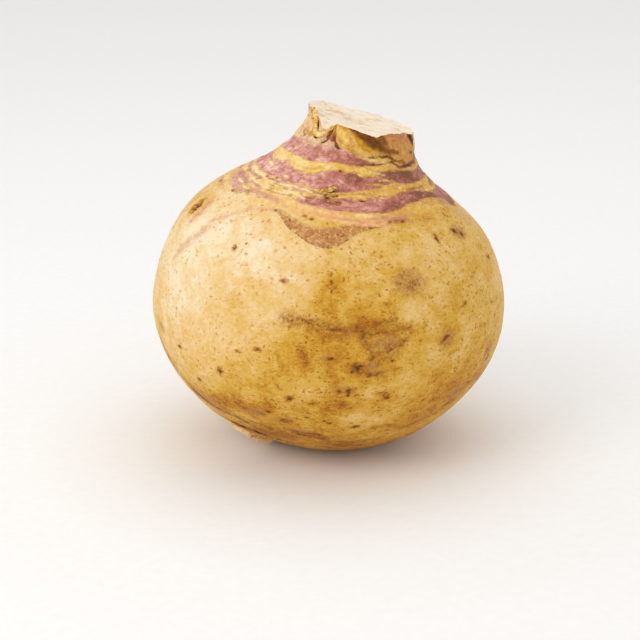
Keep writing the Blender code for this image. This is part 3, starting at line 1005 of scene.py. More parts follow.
class SharedPatterns:
    """Node groups that several finishes use: clouds of tone, and pores."""

    def __init__(self) -> None:
        """Build each group once."""
        self.tone = self._tone()
        self.pores = self._pores()

    def clouds(
        self, paint: Painter, place: Feed, clouds: float, streaks: float, grain: float
    ) -> bpy.types.NodeSocket:
        """Place the tone group with the strength of each of its parts."""
        return paint.use(self.tone, Place=place, Clouds=clouds, Streaks=streaks, Grain=grain).outputs[0]

    def dots(
        self, paint: Painter, place: Feed, scale: float, size: float, crowd: Feed
    ) -> tuple[bpy.types.NodeSocket, bpy.types.NodeSocket]:
        """Place the pore group: the dots, and a chance from 0 to 1 for each of them."""
        node = paint.use(self.pores, Place=place, Scale=scale, Size=size, Crowd=crowd)
        return node.outputs["Dots"], node.outputs["Chance"]

    def _start(
        self, name: str, numbers: Sequence[str], outputs: Sequence[str]
    ) -> tuple[Painter, bpy.types.Node, bpy.types.Node]:
        """Make an empty group with its sockets.

        Args:
            name: The group's name.
            numbers: Names of the inputs that follow the place.
            outputs: Names of the outputs.

        Returns:
            A painter for the group, its input node and its output node.
        """
        tree = bpy.data.node_groups.new(name, "ShaderNodeTree")
        tree.interface.new_socket(name="Place", in_out="INPUT", socket_type=SocketKind.VECTOR.value)
        for way, sockets in (("INPUT", numbers), ("OUTPUT", outputs)):
            for socket in sockets:
                tree.interface.new_socket(name=socket, in_out=way, socket_type=SocketKind.NUMBER.value)
        painter = Painter(tree)
        return painter, painter.add("NodeGroupInput"), painter.add("NodeGroupOutput")

    def _tone(self) -> bpy.types.NodeTree:
        """Clouds, level streaks and fine grain, summed to one value about 0."""
        paint, given, result = self._start("root_tone", ("Clouds", "Streaks", "Grain"), ("Tone",))
        place = given.outputs["Place"]
        wide = paint.swing(place, 75.0, 2.0, 0.5, 0.6)
        near = paint.swing(place, 190.0, 3.0, 0.6, 0.8)
        drawn = paint.level(place, 1.6)
        streaks = paint.swing(drawn, 380.0, 3.0, 0.65, 1.0)
        grain = paint.swing(drawn, 1100.0, 2.0, 0.6)
        tone = paint.times(paint.plus(wide, near), given.outputs["Clouds"])
        tone = paint.mixed(tone, (streaks, given.outputs["Streaks"]), (grain, given.outputs["Grain"]))
        paint.feed(result.inputs["Tone"], tone)
        return paint.tree

    def _pores(self) -> bpy.types.NodeTree:
        """Round dots: Size is the largest one's share of the spacing, Crowd the share of cells with one."""
        paint, given, result = self._start("root_pores", ("Scale", "Size", "Crowd"), ("Dots", "Chance"))
        place = given.outputs["Place"]
        bend = paint.add("ShaderNodeTexNoise")
        paint.feed(bend.inputs["Vector"], place)
        paint.feed(bend.inputs["Scale"], 1000.0)
        moved = paint.add("ShaderNodeVectorMath", operation="MULTIPLY_ADD")
        paint.feed(moved.inputs[0], bend.outputs["Color"])
        paint.feed(moved.inputs[1], (0.0022, 0.0022, 0.0022))
        paint.feed(moved.inputs[2], place)
        far, colour = paint.cells(moved.outputs[0], given.outputs["Scale"])
        split = paint.add("ShaderNodeSeparateColor")
        paint.feed(split.inputs[0], colour)
        crowd = paint.mixed(given.outputs["Crowd"], (paint.swing(place, 110.0, 2.0), 1.8))
        there = paint.sum("LESS_THAN", split.outputs[0], crowd)
        reach = paint.times(paint.mixed(0.4, (split.outputs[2], 0.6)), given.outputs["Size"])
        dots = paint.rise(far, reach, paint.times(reach, 0.35))
        paint.feed(result.inputs["Dots"], paint.times(dots, there))
        paint.feed(result.inputs["Chance"], split.outputs[1])
        return paint.tree


def new_material(name: str) -> tuple[bpy.types.Material, Painter, bpy.types.Node]:
    """Make a material with one plain shader.

    Args:
        name: The material's name.

    Returns:
        The material, a painter for its nodes, and its Principled BSDF.
    """
    material = bpy.data.materials.new(name)
    material.use_nodes = True
    return material, Painter(material.node_tree), material.node_tree.nodes["Principled BSDF"]


class Coat:
    """The skin's colour as its layers are laid, with the noises that several layers share."""

    def __init__(self, paint: Painter) -> None:
        """Start with no colour."""
        self.paint = paint
        self.place = paint.place()
        self.ragged = paint.swing(paint.level(self.place, 1.6), 560.0, 4.0, 0.65)
        self.coarse = paint.swing(paint.level(self.place, 1.6), 200.0, 3.0, 0.6)
        self.mottle = paint.grain(self.place, 700.0, 4.0, 0.7, 0.8)
        self.colour: Feed = (0.0, 0.0, 0.0, 1.0)

    def lay(self, share: Feed, colour: Feed, mode: str = "MIX") -> None:
        """Lay a colour over what is there."""
        self.colour = self.paint.blend(share, self.colour, colour, mode)

    def lay_where(self, value: Feed, span: tuple[float, ...], colour: Feed) -> None:
        """Lay a colour where a value rises through a span: from, to and, if not full, how strong."""
        self.lay(self.paint.rise(value, *span), colour)


@dataclass(frozen=True)
class SkinFinish:
    """The root's waxy skin with all of its marks."""

    patterns: SharedPatterns
    tones: tuple = (
        (0.0, tint(241, 225, 190)), (0.15, tint(238, 210, 160)), (0.30, tint(235, 198, 136)),
        (0.45, tint(228, 186, 108)), (0.58, tint(219, 175, 80)), (0.70, tint(210, 161, 56)),
        (0.82, tint(200, 144, 42)), (0.92, tint(180, 118, 35)), (1.0, tint(140, 80, 28)),
    )
    golds: tuple = (
        (0.22, tint(253, 236, 186)), (0.38, tint(249, 220, 154)), (0.50, tint(238, 200, 108)),
        (0.62, tint(220, 168, 64)), (0.78, tint(190, 138, 66)),
    )
    mauve_light: tuple = tint(224, 168, 158)
    mauve: tuple = tint(198, 130, 122)
    bark: tuple = tint(102, 54, 20)
    umber: tuple = tint(60, 26, 6)
    freckle: tuple = tint(198, 128, 20)
    dot: tuple = tint(160, 90, 8)
    bruise: tuple = tint(182, 128, 72)
    mauves: tuple = (
        (0.18, tint(242, 206, 188)), (0.32, mauve_light), (0.46, mauve), (0.62, tint(168, 98, 86)),
        (0.78, tint(126, 74, 56)),
    )
    corks: tuple = ((0.36, tint(228, 176, 118)), (0.48, tint(190, 130, 76)), (0.58, bruise), (0.70, bark))
    dries: tuple = (
        (0.30, tint(246, 224, 188)), (0.48, tint(232, 200, 156)), (0.64, tint(214, 168, 118)),
        (0.80, tint(176, 120, 68)),
    )
    scars: tuple = (
        (0.34, tint(236, 206, 140)), (0.5, tint(222, 178, 90)), (0.66, tint(196, 142, 52)),
        (0.84, tint(150, 98, 36)),
    )
    eyes: tuple = (
        (0.0, tint(232, 188, 96)), (0.24, tint(206, 150, 44)), (0.46, tint(170, 110, 30)),
        (0.60, tint(96, 52, 16)), (0.70, tint(200, 150, 84)), (0.82, tint(250, 234, 196)),
    )
    rough: float = 0.5
    relief: float = 0.0004
    gloss: float = 0.14
    glow: float = 0.05
    glow_depth: float = 0.002

    def make(self) -> bpy.types.Material:
        """Build the material."""
        material, paint, shader = new_material("root_skin")
        coat = Coat(paint)
        layers = (self._skin, self._shoulder, self._bruises, self._cork, self._spots, self._neck, self._eye)
        for layer in layers:
            layer(coat)
        paint.feed(shader.inputs["Base Color"], coat.colour)
        paint.bump(shader, self._relief(coat), 0.5, self.relief)
        dull = paint.rise(paint.mark("cork"), -0.2, 0.4, 0.2)
        dull = paint.mixed(dull, (paint.grain(coat.place, 420.0, 3.0), 0.2))
        paint.feed(shader.inputs["Roughness"], paint.plus(dull, self.rough - 0.1))
        shader.inputs["Specular IOR Level"].default_value = self.gloss
        shader.inputs["Subsurface Weight"].default_value = self.glow
        shader.inputs["Subsurface Scale"].default_value = self.glow_depth
        return material

    def _skin(self, coat: Coat) -> None:
        """Cream to ochre ground with streaks, clouds, freckles and pores."""
        paint, place, base = coat.paint, coat.place, coat.paint.mark("tone")
        clouds = self.patterns.clouds(paint, place, 0.6, 0.5, 0.32)
        coat.colour = paint.ramp(paint.plus(clouds, base), self.tones)
        drift = paint.mixed(paint.grain(paint.level(place, 2.4), 400.0, 5.0, 0.74, 0.8), (base, 0.3))
        coat.lay_where(drift, (0.70, 0.86, 0.5), self.freckle)
        coat.lay_where(drift, (0.78, 0.92, 0.75), tint(136, 78, 22))
        deep = paint.rise(base, 0.3, 0.75)
        crowd = paint.mixed(0.27, (base, 0.6))
        dots, chance = self.patterns.dots(paint, place, 820.0, 0.64, crowd)
        share = paint.times(dots, paint.rise(chance, -0.2, 1.0, 0.9))
        coat.lay(share, paint.blend(deep, tint(210, 144, 46), self.dot))
        dots, chance = self.patterns.dots(paint, paint.level(place, 1.9), 500.0, 0.42, crowd)
        share = paint.times(dots, paint.rise(chance, -0.1, 1.3, 0.95))
        share = paint.times(share, paint.rise(base, -0.2, 0.65))
        coat.lay(share, paint.blend(deep, tint(174, 106, 24), tint(120, 62, 12)))

    def _shoulder(self, coat: Coat) -> None:
        """Golden shoulder with the mauve bands laid over it."""
        paint, place, ragged, coarse = coat.paint, coat.place, coat.ragged, coat.coarse
        ripe, shoulder = paint.mark("ripe"), paint.mark("shoulder")
        drawn = paint.level(place, 2.8)
        streaks = paint.grain(drawn, 260.0, 5.0, 0.66, 0.6)
        fine = paint.mixed(-0.25, (paint.grain(place, 820.0, 3.0, 0.7), 0.5))
        gold = paint.ramp(paint.plus(fine, paint.mixed(streaks, (ripe, 0.8))), self.golds)
        amber = paint.rise(paint.grain(drawn, 190.0, 5.0, 0.7, 0.5), 0.50, 0.70, 0.6)
        gold = paint.blend(paint.times(amber, paint.rise(ripe, -0.16, 0.06)), gold, tint(222, 156, 62))
        coat.lay(paint.times(shoulder, 0.75), gold)
        lines = paint.grain(paint.level(place, 4.5), 300.0, 4.0, 0.7, 0.4)
        coat.lay(paint.times(shoulder, paint.rise(lines, 0.53, 0.64, 0.6)), self.mauve_light)
        wash = paint.mixed(paint.mark("wash"), (ragged, 1.2), (coarse, 1.6))
        coat.lay_where(wash, (0.3, 0.95, 0.62), self.mauve)
        strays = (ragged, 1.2), (coarse, 0.9), (paint.sum("SUBTRACT", lines, 0.5), 1.6)
        field = paint.mixed(paint.mark("mauve"), *strays)
        mottle = paint.grain(paint.level(place, 1.5), 430.0, 5.0, 0.74, 0.6)
        broad = paint.swing(place, 85.0, 2.0)
        tone = paint.mixed(-0.25, (mottle, 1.15), (streaks, 0.35), (broad, 0.9), (ripe, 0.9))
        mauve = paint.ramp(tone, self.mauves)
        mauve = paint.blend(paint.rise(lines, 0.60, 0.70, 0.6), mauve, tint(232, 186, 116))
        coat.lay_where(field, (-0.35, 0.35, 0.95), mauve)
        outline = paint.rise(paint.sum("ABSOLUTE", paint.plus(field, 0.2)), 0.4, 0.0, 0.6)
        coat.lay(paint.times(outline, paint.rise(mottle, 0.40, 0.60)), tint(158, 98, 58))
        dots, _ = self.patterns.dots(paint, place, 620.0, 0.34, 0.44)
        coat.lay(paint.times(dots, paint.times(shoulder, 0.75)), tint(142, 82, 44))

    def _bruises(self, coat: Coat) -> None:
        """Pink blushes, and bruises with a dark net."""
        paint, bruise = coat.paint, coat.paint.mark("bruise")
        streaky = paint.grain(paint.level(coat.place, 2.0), 300.0, 5.0, 0.65)
        blush = paint.times(paint.mark("blush"), paint.rise(streaky, 0.32, 0.62, 0.72))
        coat.lay(blush, tint(214, 156, 122))
        coat.lay(paint.times(bruise, paint.rise(coat.mottle, 0.26, 0.56, 0.85)), self.bruise)
        coat.lay(paint.times(bruise, paint.rise(coat.mottle, 0.50, 0.66, 0.65)), self.bark)

    def _cork(self, coat: Coat) -> None:
        """The speckled corky crescent along the tongue's edge, darkest at the edge itself."""
        paint, mottle = coat.paint, coat.mottle
        field = paint.mixed(paint.mark("cork"), (coat.ragged, 2.2), (coat.coarse, 3.4))
        dots, chance = self.patterns.dots(paint, coat.place, 620.0, 0.5, 0.9)
        share = paint.times(dots, paint.rise(chance, 0.1, 1.0, 0.9))
        cork = paint.blend(share, paint.ramp(mottle, self.corks), self.bark)
        near = paint.mixed(paint.mark("ledge"), (coat.ragged, 0.9))
        inside = paint.rise(near, -0.15, 0.25)
        coat.lay(paint.times(paint.rise(field, -0.5, 1.5, 0.95), inside), cork)
        rim = paint.times(inside, paint.rise(near, 1.5, 0.2, 0.8))
        rim = paint.times(rim, paint.rise(paint.mark("cork"), -1.0, 0.1))
        coat.lay(paint.times(rim, paint.rise(mottle, 0.36, 0.58)), tint(124, 72, 38))

    def _spots(self, coat: Coat) -> None:
        """Dark spots with paler rims, and cracks."""
        paint = coat.paint
        field = paint.mixed(paint.mark("spot"), (coat.ragged, 3.6))
        coat.lay_where(field, (-1.2, 0.1, 0.6), self.freckle)
        coat.lay_where(field, (-0.4, 0.6, 0.8), self.bark)
        coat.lay_where(field, (0.3, 1.2, 0.9), self.umber)
        field = paint.mixed(paint.mark("crack"), (coat.ragged, 4.2))
        share = paint.times(paint.rise(field, -2.6, 0.8), paint.rise(coat.mottle, 0.32, 0.56, 0.7))
        coat.lay(share, tint(160, 98, 36))
        share = paint.times(paint.rise(field, -0.4, 1.4), paint.rise(coat.mottle, 0.44, 0.62, 0.85))
        coat.lay(share, self.bark)

    def _neck(self, coat: Coat) -> None:
        """Dry neck, the large leaf scar, and the strokes that are painted on the points, among them painted
        shadows and a painted highlight.
        """
        paint, place, scar = coat.paint, coat.place, coat.paint.mark("scar")
        upright = paint.grain(paint.level(place, 0.45), 620.0, 5.0, 0.66)
        dots, _ = self.patterns.dots(paint, place, 640.0, 0.5, 0.6)
        dry = paint.blend(paint.times(dots, 0.6), paint.ramp(upright, self.dries), self.freckle)
        coat.lay(paint.mark("dry"), dry)
        field = paint.mixed(scar, (coat.ragged, 0.8))
        coat.lay_where(field, (0.0, 0.4), paint.ramp(paint.mixed(upright, (scar, 0.06)), self.scars))
        daub = paint.add("ShaderNodeAttribute", attribute_name="paint")
        alpha = daub.outputs["Alpha"]
        cover = paint.rise(paint.mixed(alpha, (coat.ragged, 1.5)), 0.15, 0.75)
        coat.lay(paint.times(cover, paint.rise(alpha, 0.0, 0.12)), daub.outputs["Color"])
        mottle = paint.grain(place, 640.0, 5.0, 0.7, 0.6)
        contrast = paint.ramp(mottle, ((0.32, (0.78, 0.78, 0.78, 1)), (0.68, (0.24, 0.24, 0.24, 1))))
        worn = paint.sum("MAXIMUM", paint.rise(scar, -0.2, 0.3), alpha)
        coat.lay(paint.times(worn, 0.75), contrast, "OVERLAY")
        stains, _ = self.patterns.dots(paint, place, 760.0, 0.5, 0.5)
        coat.lay(paint.times(paint.times(stains, worn), 0.5), self.dot)

    def _eye(self, coat: Coat) -> None:
        """The dormant eye: a rusty rim, dark hollow and pale middle."""
        field = coat.paint.mixed(coat.paint.mark("eye"), (coat.ragged, 1.6))
        coat.lay_where(field, (-0.1, 0.16, 0.95), coat.paint.ramp(field, self.eyes))

    def _relief(self, coat: Coat) -> bpy.types.NodeSocket:
        """Fine surface: leathery grain, drawn lines near the crown, and pits at the pores."""
        paint, place = coat.paint, coat.place
        leather = paint.grain(place, 900.0, 4.0, 0.6)
        drawn = paint.grain(paint.level(place, 4.0), 330.0, 4.0, 0.6)
        shoulder = paint.mixed(0.25, (paint.mark("shoulder"), 0.8))
        pores, _ = self.patterns.dots(paint, place, 330.0, 0.155, 0.5)
        rough = paint.times(paint.rise(paint.mark("cork"), -0.1, 0.4), paint.grain(place, 700.0, 4.0, 0.7))
        return paint.mixed(leather, (drawn, shoulder), (pores, -0.12), (rough, 0.9))


@dataclass(frozen=True)
class FleshFinish:
    """Pale cut flesh with faint streaks along the knife's way."""

    patterns: SharedPatterns
    name: str = "cut_flesh"
    light: tuple = tint(246, 232, 210)
    middle: tuple = tint(238, 215, 184)
    streak: tuple = tint(206, 164, 118)
    along: tuple[float, float, float] = (0.5, 1.0, 1.0)
    rough: float = 0.62
    glow: float = 0.1
    glow_depth: float = 0.003

    def make(self) -> bpy.types.Material:
        """Build the material."""
        material, paint, shader = new_material(self.name)
        place = paint.place()
        streaks = paint.grain(paint.stretch(place, self.along), 620.0, 5.0, 0.68, 0.4)
        tone = paint.plus(self.patterns.clouds(paint, place, 0.9, 0.4, 0.4), streaks)
        colour = paint.ramp(tone, ((0.38, self.light), (0.62, self.middle), (0.90, self.streak)))
        flecks = paint.grain(paint.stretch(place, (0.8, 1.0, 1.0)), 520.0, 4.0, 0.66)
        colour = paint.blend(paint.rise(flecks, 0.62, 0.70, 0.7), colour, tint(190, 142, 90))
        paint.feed(shader.inputs["Base Color"], colour)
        paint.bump(shader, streaks, 0.5, 0.0003)
        shader.inputs["Roughness"].default_value = self.rough
        shader.inputs["Subsurface Weight"].default_value = self.glow
        shader.inputs["Subsurface Scale"].default_value = self.glow_depth
        return material


@dataclass(frozen=True)
class DryFinish:
    """Dry, fibrous tissue: husk, bud and the taproot's bark."""

    patterns: SharedPatterns
    name: str
    light: tuple
    middle: tuple
    dark: tuple
    rough: float = 0.6

    def make(self) -> bpy.types.Material:
        """Build the material."""
        material, paint, shader = new_material(self.name)
        place = paint.place()
        tone = paint.plus(self.patterns.clouds(paint, place, 0.6, 0.9, 0.7), 0.44)
        colour = paint.ramp(tone, ((0.28, self.light), (0.5, self.middle), (0.76, self.dark)))
        pores, _ = self.patterns.dots(paint, place, 700.0, 0.3, 0.4)
        colour = paint.blend(paint.times(pores, 0.7), colour, tint(110, 66, 34))
        paint.feed(shader.inputs["Base Color"], colour)
        paint.bump(shader, paint.grain(place, 1300.0, 4.0, 0.65), 0.6, 0.0003)
        shader.inputs["Roughness"].default_value = self.rough
        return material


# ---------------------------------------------------------------- pieces


def placed(name: str, data: bpy.types.ID) -> bpy.types.Object:
    """Make an object from its data and put it in the scene."""
    item = bpy.data.objects.new(name, data)
    bpy.context.scene.collection.objects.link(item)
    return item


def finished(
    mesh: bmesh.types.BMesh, name: str, scale: float, sharp: float, *finishes: bpy.types.Material
) -> bpy.types.Object:
    """Turn a bmesh in millimetres into a smooth-shaded object in metres.

    Args:
        mesh: The shape. It is freed.
        name: The piece's name.
        scale: Metres in one of the shape's millimetres.
        sharp: Angle in degrees past which an edge stays sharp.
        *finishes: Its materials, in the order of the faces' numbers.

    Returns:
        The new object, at the origin.
    """
    bmesh.ops.recalc_face_normals(mesh, faces=mesh.faces)
    bmesh.ops.scale(mesh, vec=(scale, scale, scale), verts=mesh.verts)
    data = bpy.data.meshes.new(name)
    mesh.to_mesh(data)
    mesh.free()
    data.shade_smooth()
    data.set_sharp_from_angle(angle=math.radians(sharp))
    for finish in finishes:
        data.materials.append(finish)
    return placed(name, data)


def report(piece: bpy.types.Object) -> None:
    """Log a piece's name and size in triangles."""
    log.info("%s: %d triangles", piece.name, sum(len(face.vertices) - 2 for face in piece.data.polygons))


def stand_in(piece: bpy.types.Object) -> None:
    """Tie a piece to the root's body, hide the root's node that it stands in for, and log its size."""
    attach(piece, BODY)
    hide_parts(NODE)
    report(piece)


@dataclass
class RootBody:
    """The bulb, shoulder and neck with the cut face, as one closed mesh."""

    shape: BulbShape
    marks: SkinMarks
    scale: float
    segments: int = 384
    crowding: float = 0.36
    sharp: float = 50.0
    cap_shares: tuple[float, ...] = (
        0.985, 0.965, 0.935, 0.90, 0.85, 0.78, 0.69, 0.59, 0.48, 0.37, 0.26, 0.15, 0.06
    )
    kept: tuple[str, ...] = (
        "tone", "mauve", "wash", "ripe", "blush", "crack", "spot", "bruise", "eye", "ledge", "cork", "scar",
        "dry", "shoulder",
    )

    def build(self, skin: bpy.types.Material, flesh: bpy.types.Material) -> bpy.types.Object:
        """Model the body and dress it.

        Args:
            skin: Material of the grown surface.
            flesh: Material of the cut face.

        Returns:
            The finished piece.
        """
        mesh = bmesh.new()
        self._turn(mesh)
        self._carve(mesh)
        self._cap(mesh)
        return finished(mesh, "rutabaga_body", self.scale, self.sharp, skin, flesh)

    def _turn(self, mesh: bmesh.types.BMesh) -> None:
        """Turn the outline round the axis, lean it, and slice the crown off."""
        points = self.shape.base_outline() + self.shape.shoulder_outline()
        corners = [mesh.verts.new(point) for point in points]
        edges = [mesh.edges.new(pair) for pair in zip(corners, corners[1:])]
        bmesh.ops.spin(
            mesh, geom=[*corners, *edges], axis=(0, 0, 1), cent=(0, 0, 0), angle=math.tau,
            steps=self.segments, use_merge=True,
        )
        bmesh.ops.remove_doubles(mesh, verts=mesh.verts, dist=1e-4)
        turned = mesh.verts.layers.float_vector.new("turned")
        for corner in mesh.verts:
            angle = math.atan2(corner.co.y, corner.co.x) + math.pi / 2
            corner.co = Matrix.Rotation(-self.crowding * math.sin(angle), 3, "Z") @ corner.co
        flat = np.array([corner.co for corner in mesh.verts])
        for corner, place in zip(mesh.verts, self.shape.settle(flat)):
            corner[turned] = corner.co
            corner.co = place
        bmesh.ops.bisect_plane(
            mesh, geom=[*mesh.verts, *mesh.edges, *mesh.faces], plane_co=self._cut_point(),
            plane_no=self.shape.cut_normal, clear_outer=True,
        )

    def _cut_point(self) -> Vector:
        """A point of the knife's plane on the root that stands on the ground."""
        return self.shape.cut_point - Vector((0, 0, self.shape.sole))

    def _carve(self, mesh: bmesh.types.BMesh) -> None:
        """Give the skin its relief, and keep the marks' values on its points."""
        for name in self.kept:
            mesh.verts.layers.float.new(name)
        paint_layer = mesh.verts.layers.float_color.new("paint")
        turned = mesh.verts.layers.float_vector["turned"]
        corners = list(mesh.verts)
        upright = np.array([corner[turned] for corner in corners])
        points = np.array([corner.co for corner in corners])
        angle = np.degrees(np.arctan2(upright[:, 1], upright[:, 0]))
        height = upright[:, 2]
        reader = SkinReader(self.shape, self.marks)
        fields = reader.read(points, angle, height)
        paint = reader.paint(points)
        outward = self.shape.axes_at(angle, height)[2]
        lift = self._relief(points, angle, height, fields)
        moved = points + outward * lift[:, None]
        moved[:, 2] += self._torn(points, angle)
        layers = [(mesh.verts.layers.float[name], fields[name]) for name in self.kept]
        for index, corner in enumerate(corners):
            corner.co = moved[index]
            corner[paint_layer] = paint[index]
            for layer, values in layers:
                corner[layer] = values[index]

    def _relief(
        self, points: np.ndarray, angle: np.ndarray, height: np.ndarray, fields: dict[str, np.ndarray]
    ) -> np.ndarray:
        """How far each point of the skin stands out from the smooth shape, in millimetres."""
        rest = ease(height, -50.2, -48.0)
        wide = 0.55 * ripple(points, 34.0, 3.0) + 0.22 * ripple(points, 11.0, 8.0)
        fine = 0.07 * ripple(points, 3.2, 5.0)
        drawn = points * np.array([1.0, 1.0, 3.0])
        shoulder = fields["shoulder"]
        ridges = 0.16 * shoulder * ripple(drawn, 9.0, 12.0)
        rings = -0.28 * ease(fields["mauve"], -0.5, 0.4) * shoulder
        ledge = 0.42 * ease(fields["ledge"], -0.25, 0.35) * ease(fields["cork"], -1.6, 0.4)
        cracks = -0.28 * ease(fields["crack"], -0.3, 0.8)
        pits = -0.30 * ease(fields["spot"], -0.1, 0.9) + 0.10 * ease(fields["spot"], -0.8, 0.0)
        scar = fields["scar"]
        front = ease(angle, -50, -84) * 0.8 + 0.35
        cushion = 1.25 * front * ease(scar, -0.1, 1.7) - 0.25 * ease(scar, 0.0, -0.9) * ease(scar, -2.2, -0.9)
        narrow = -1.5 * ease(np.abs(angle + 8), 55, 18) * ease(height, 54.5, 59.5)
        eye = 0.75 * np.exp(-(((fields["eye"] - 0.15) / 0.26) ** 2)) - 0.9 * ease(fields["eye"], 0.25, 0.8)
        eye += 0.7 * ease(fields["eye"], 0.72, 1.0)
        wrinkles = 0.22 * fields["base"] * ripple(drawn, 5.0, 21.0)
        pleats = 0.22 * fields["dry"] * np.sin(np.radians(angle) * 40 + 1.6 * ripple(points, 5.0, 31.0))
        crease = -0.7 * np.exp(-((fields["stub_near"] / 1.3) ** 2))
        return rest * (
            wide + fine + ridges + rings + ledge + cracks + pits + cushion + narrow + self._wounds(points)
            + eye + wrinkles + pleats + crease
        )

    def _wounds(self, points: np.ndarray) -> np.ndarray:
        """How far the hollows lower each point, in millimetres."""
        return sum(depth * ease(mark.inside(points, self.shape), -0.2, 0.8) for mark, depth in HOLLOWS)

    def _torn(self, points: np.ndarray, angle: np.ndarray) -> np.ndarray:
        """How far the rim strays up or down from the knife's plane, broadly and in small teeth."""
        below = (np.array(self._cut_point()) - points) @ np.array(self.shape.cut_normal)
        below = np.clip(below, 0, None)
        broad = self.marks.rim_rise.height_at(angle) * np.exp(-below / 4.6)
        teeth = 0.42 * ripple(points, 2.0, 17.0) + 0.26 * ripple(points, 0.8, 27.0)
        return broad + teeth * np.exp(-below / 0.9)

    def _cap(self, mesh: bmesh.types.BMesh) -> None:
        """Close the cut with rings that shrink to its middle, a little uneven as the knife left it."""
        ring = [edge for edge in mesh.edges if edge.is_boundary]
        rim = list({corner for edge in ring for corner in edge.verts})
        middle = sum((corner.co for corner in rim), Vector()) / len(rim)
        point, normal = self._cut_point(), self.shape.cut_normal
        before = 1.0
        for share in self.cap_shares:
            made = bmesh.ops.extrude_edge_only(mesh, edges=ring)["geom"]
            corners = [item for item in made if isinstance(item, bmesh.types.BMVert)]
            ring = [item for item in made if isinstance(item, bmesh.types.BMEdge)]
            ring = [edge for edge in ring if edge.is_boundary]
            for corner in corners:
                offset = (corner.co - point).dot(normal) / normal.z
                step = (corner.co - middle).length * (1 - share / before)
                corner.co = middle + (corner.co - middle) * (share / before)
                level = point.z - ((corner.co.xy - point.xy).dot(normal.xy)) / normal.z
                scrape = noise.noise(Vector((corner.co.x / 7, corner.co.y / 2.2, 0.3)))
                corner.co.z = level + offset * math.exp(-step / 2.0) + 0.05 * scrape
            for item in made:
                if isinstance(item, bmesh.types.BMFace):
                    item.material_index = 1
            before = share
        last = list({corner for edge in ring for corner in edge.verts})
        bmesh.ops.edgeloop_fill(mesh, edges=ring, mat_nr=1)
        centre = sum((corner.co for corner in last), Vector()) / len(last)
        bmesh.ops.pointmerge(mesh, verts=last, merge_co=centre)


@dataclass(frozen=True)
class Strand:
    """A dry fibre on the neck: stations of angle, height, lift and half width."""

    name: str
    stations: tuple[tuple[float, float, float, float], ...]
    flatness: float = 0.6
    sides: int = 14
    steps: int = 7
    sharp: float = 80.0

    def build(self, shape: BulbShape, scale: float, finish: bpy.types.Material) -> bpy.types.Object:
        """Grow the strand by extruding a small disc from station to station.

        Args:
            shape: The root that it lies on.
            scale: Metres in one of the shape's millimetres.
            finish: Its material.

        Returns:
            The finished piece.
        """
        frames = self._frames(shape)
        mesh = bmesh.new()
        bmesh.ops.create_circle(mesh, cap_ends=True, radius=1.0, segments=self.sides)
        bmesh.ops.transform(mesh, matrix=frames[0], verts=mesh.verts)
        face = mesh.faces[:][0]
        for before, after in zip(frames, frames[1:]):
            made = bmesh.ops.extrude_face_region(mesh, geom=[face])["geom"]
            new_face = next(item for item in made if isinstance(item, bmesh.types.BMFace))
            if face.is_valid and before is not frames[0]:
                bmesh.ops.delete(mesh, geom=[face], context="FACES_ONLY")
            bmesh.ops.transform(mesh, matrix=after @ before.inverted(), verts=list(new_face.verts))
            face = new_face
        for corner in mesh.verts:
            wave = noise.noise(corner.co / 1.3)
            corner.co += Vector((wave, noise.noise(corner.co / 0.9), wave)) * 0.14
        return finished(mesh, self.name, scale, self.sharp, finish)

    def _frames(self, shape: BulbShape) -> list[Matrix]:
        """Where the disc stands at each step: its place, turn and size."""
        rows = np.array(self.stations)
        steps = np.linspace(0, len(rows) - 1, (len(rows) - 1) * self.steps + 1)
        dense = np.column_stack([np.interp(steps, range(len(rows)), column) for column in rows.T])
        kernel = np.hanning(self.steps + 2)[1:-1]
        kernel /= kernel.sum()
        pad = len(kernel) // 2
        padded = np.pad(dense, ((pad, pad), (0, 0)), mode="edge")
        dense = np.column_stack([np.convolve(column, kernel, mode="valid") for column in padded.T])
        outward = shape.axes_at(dense[:, 0], dense[:, 1])[2]
        places = shape.on_skin(dense[:, 0], dense[:, 1]) + outward * dense[:, 2:3]
        along = np.gradient(places, axis=0)
        frames = []
        for place, way, up, half in zip(places, along, outward, dense[:, 3]):
            forward = Vector(way).normalized()
            side = forward.cross(Vector(up)).normalized()
            top = side.cross(forward).normalized()
            turn = Matrix((side, top, forward)).transposed().to_4x4()
            size = Matrix.Diagonal((half, half * self.flatness, 1.0, 1.0))
            frames.append(Matrix.Translation(place) @ turn @ size)
        return frames


@dataclass(frozen=True)
class KnobCluster:
    """A small heap of corky knobs, such as a dormant bud."""

    name: str
    knobs: tuple[tuple[float, float, float, float], ...]
    sharp: float = 60.0

    def build(self, shape: BulbShape, scale: float, finish: bpy.types.Material) -> bpy.types.Object:
        """Model each knob as a rough ball half sunk in the skin.

        Args:
            shape: The root that they sit on.
            scale: Metres in one of the shape's millimetres.
            finish: Their material.

        Returns:
            The finished piece.
        """
        mesh = bmesh.new()
        for angle, height, lift, radius in self.knobs:
            at = np.array([angle]), np.array([height])
            outward = shape.axes_at(*at)[2][0]
            middle = Vector(shape.on_skin(*at)[0] + outward * lift)
            at_middle = Matrix.Translation(middle)
            made = bmesh.ops.create_icosphere(mesh, subdivisions=3, radius=radius, matrix=at_middle)
            for corner in made["verts"]:
                way = (corner.co - middle).normalized()
                bumps = 0.34 * noise.noise(corner.co / 0.55) + 0.22 * noise.noise(corner.co / 0.25)
                corner.co += way * radius * bumps
        return finished(mesh, self.name, scale, self.sharp, finish)


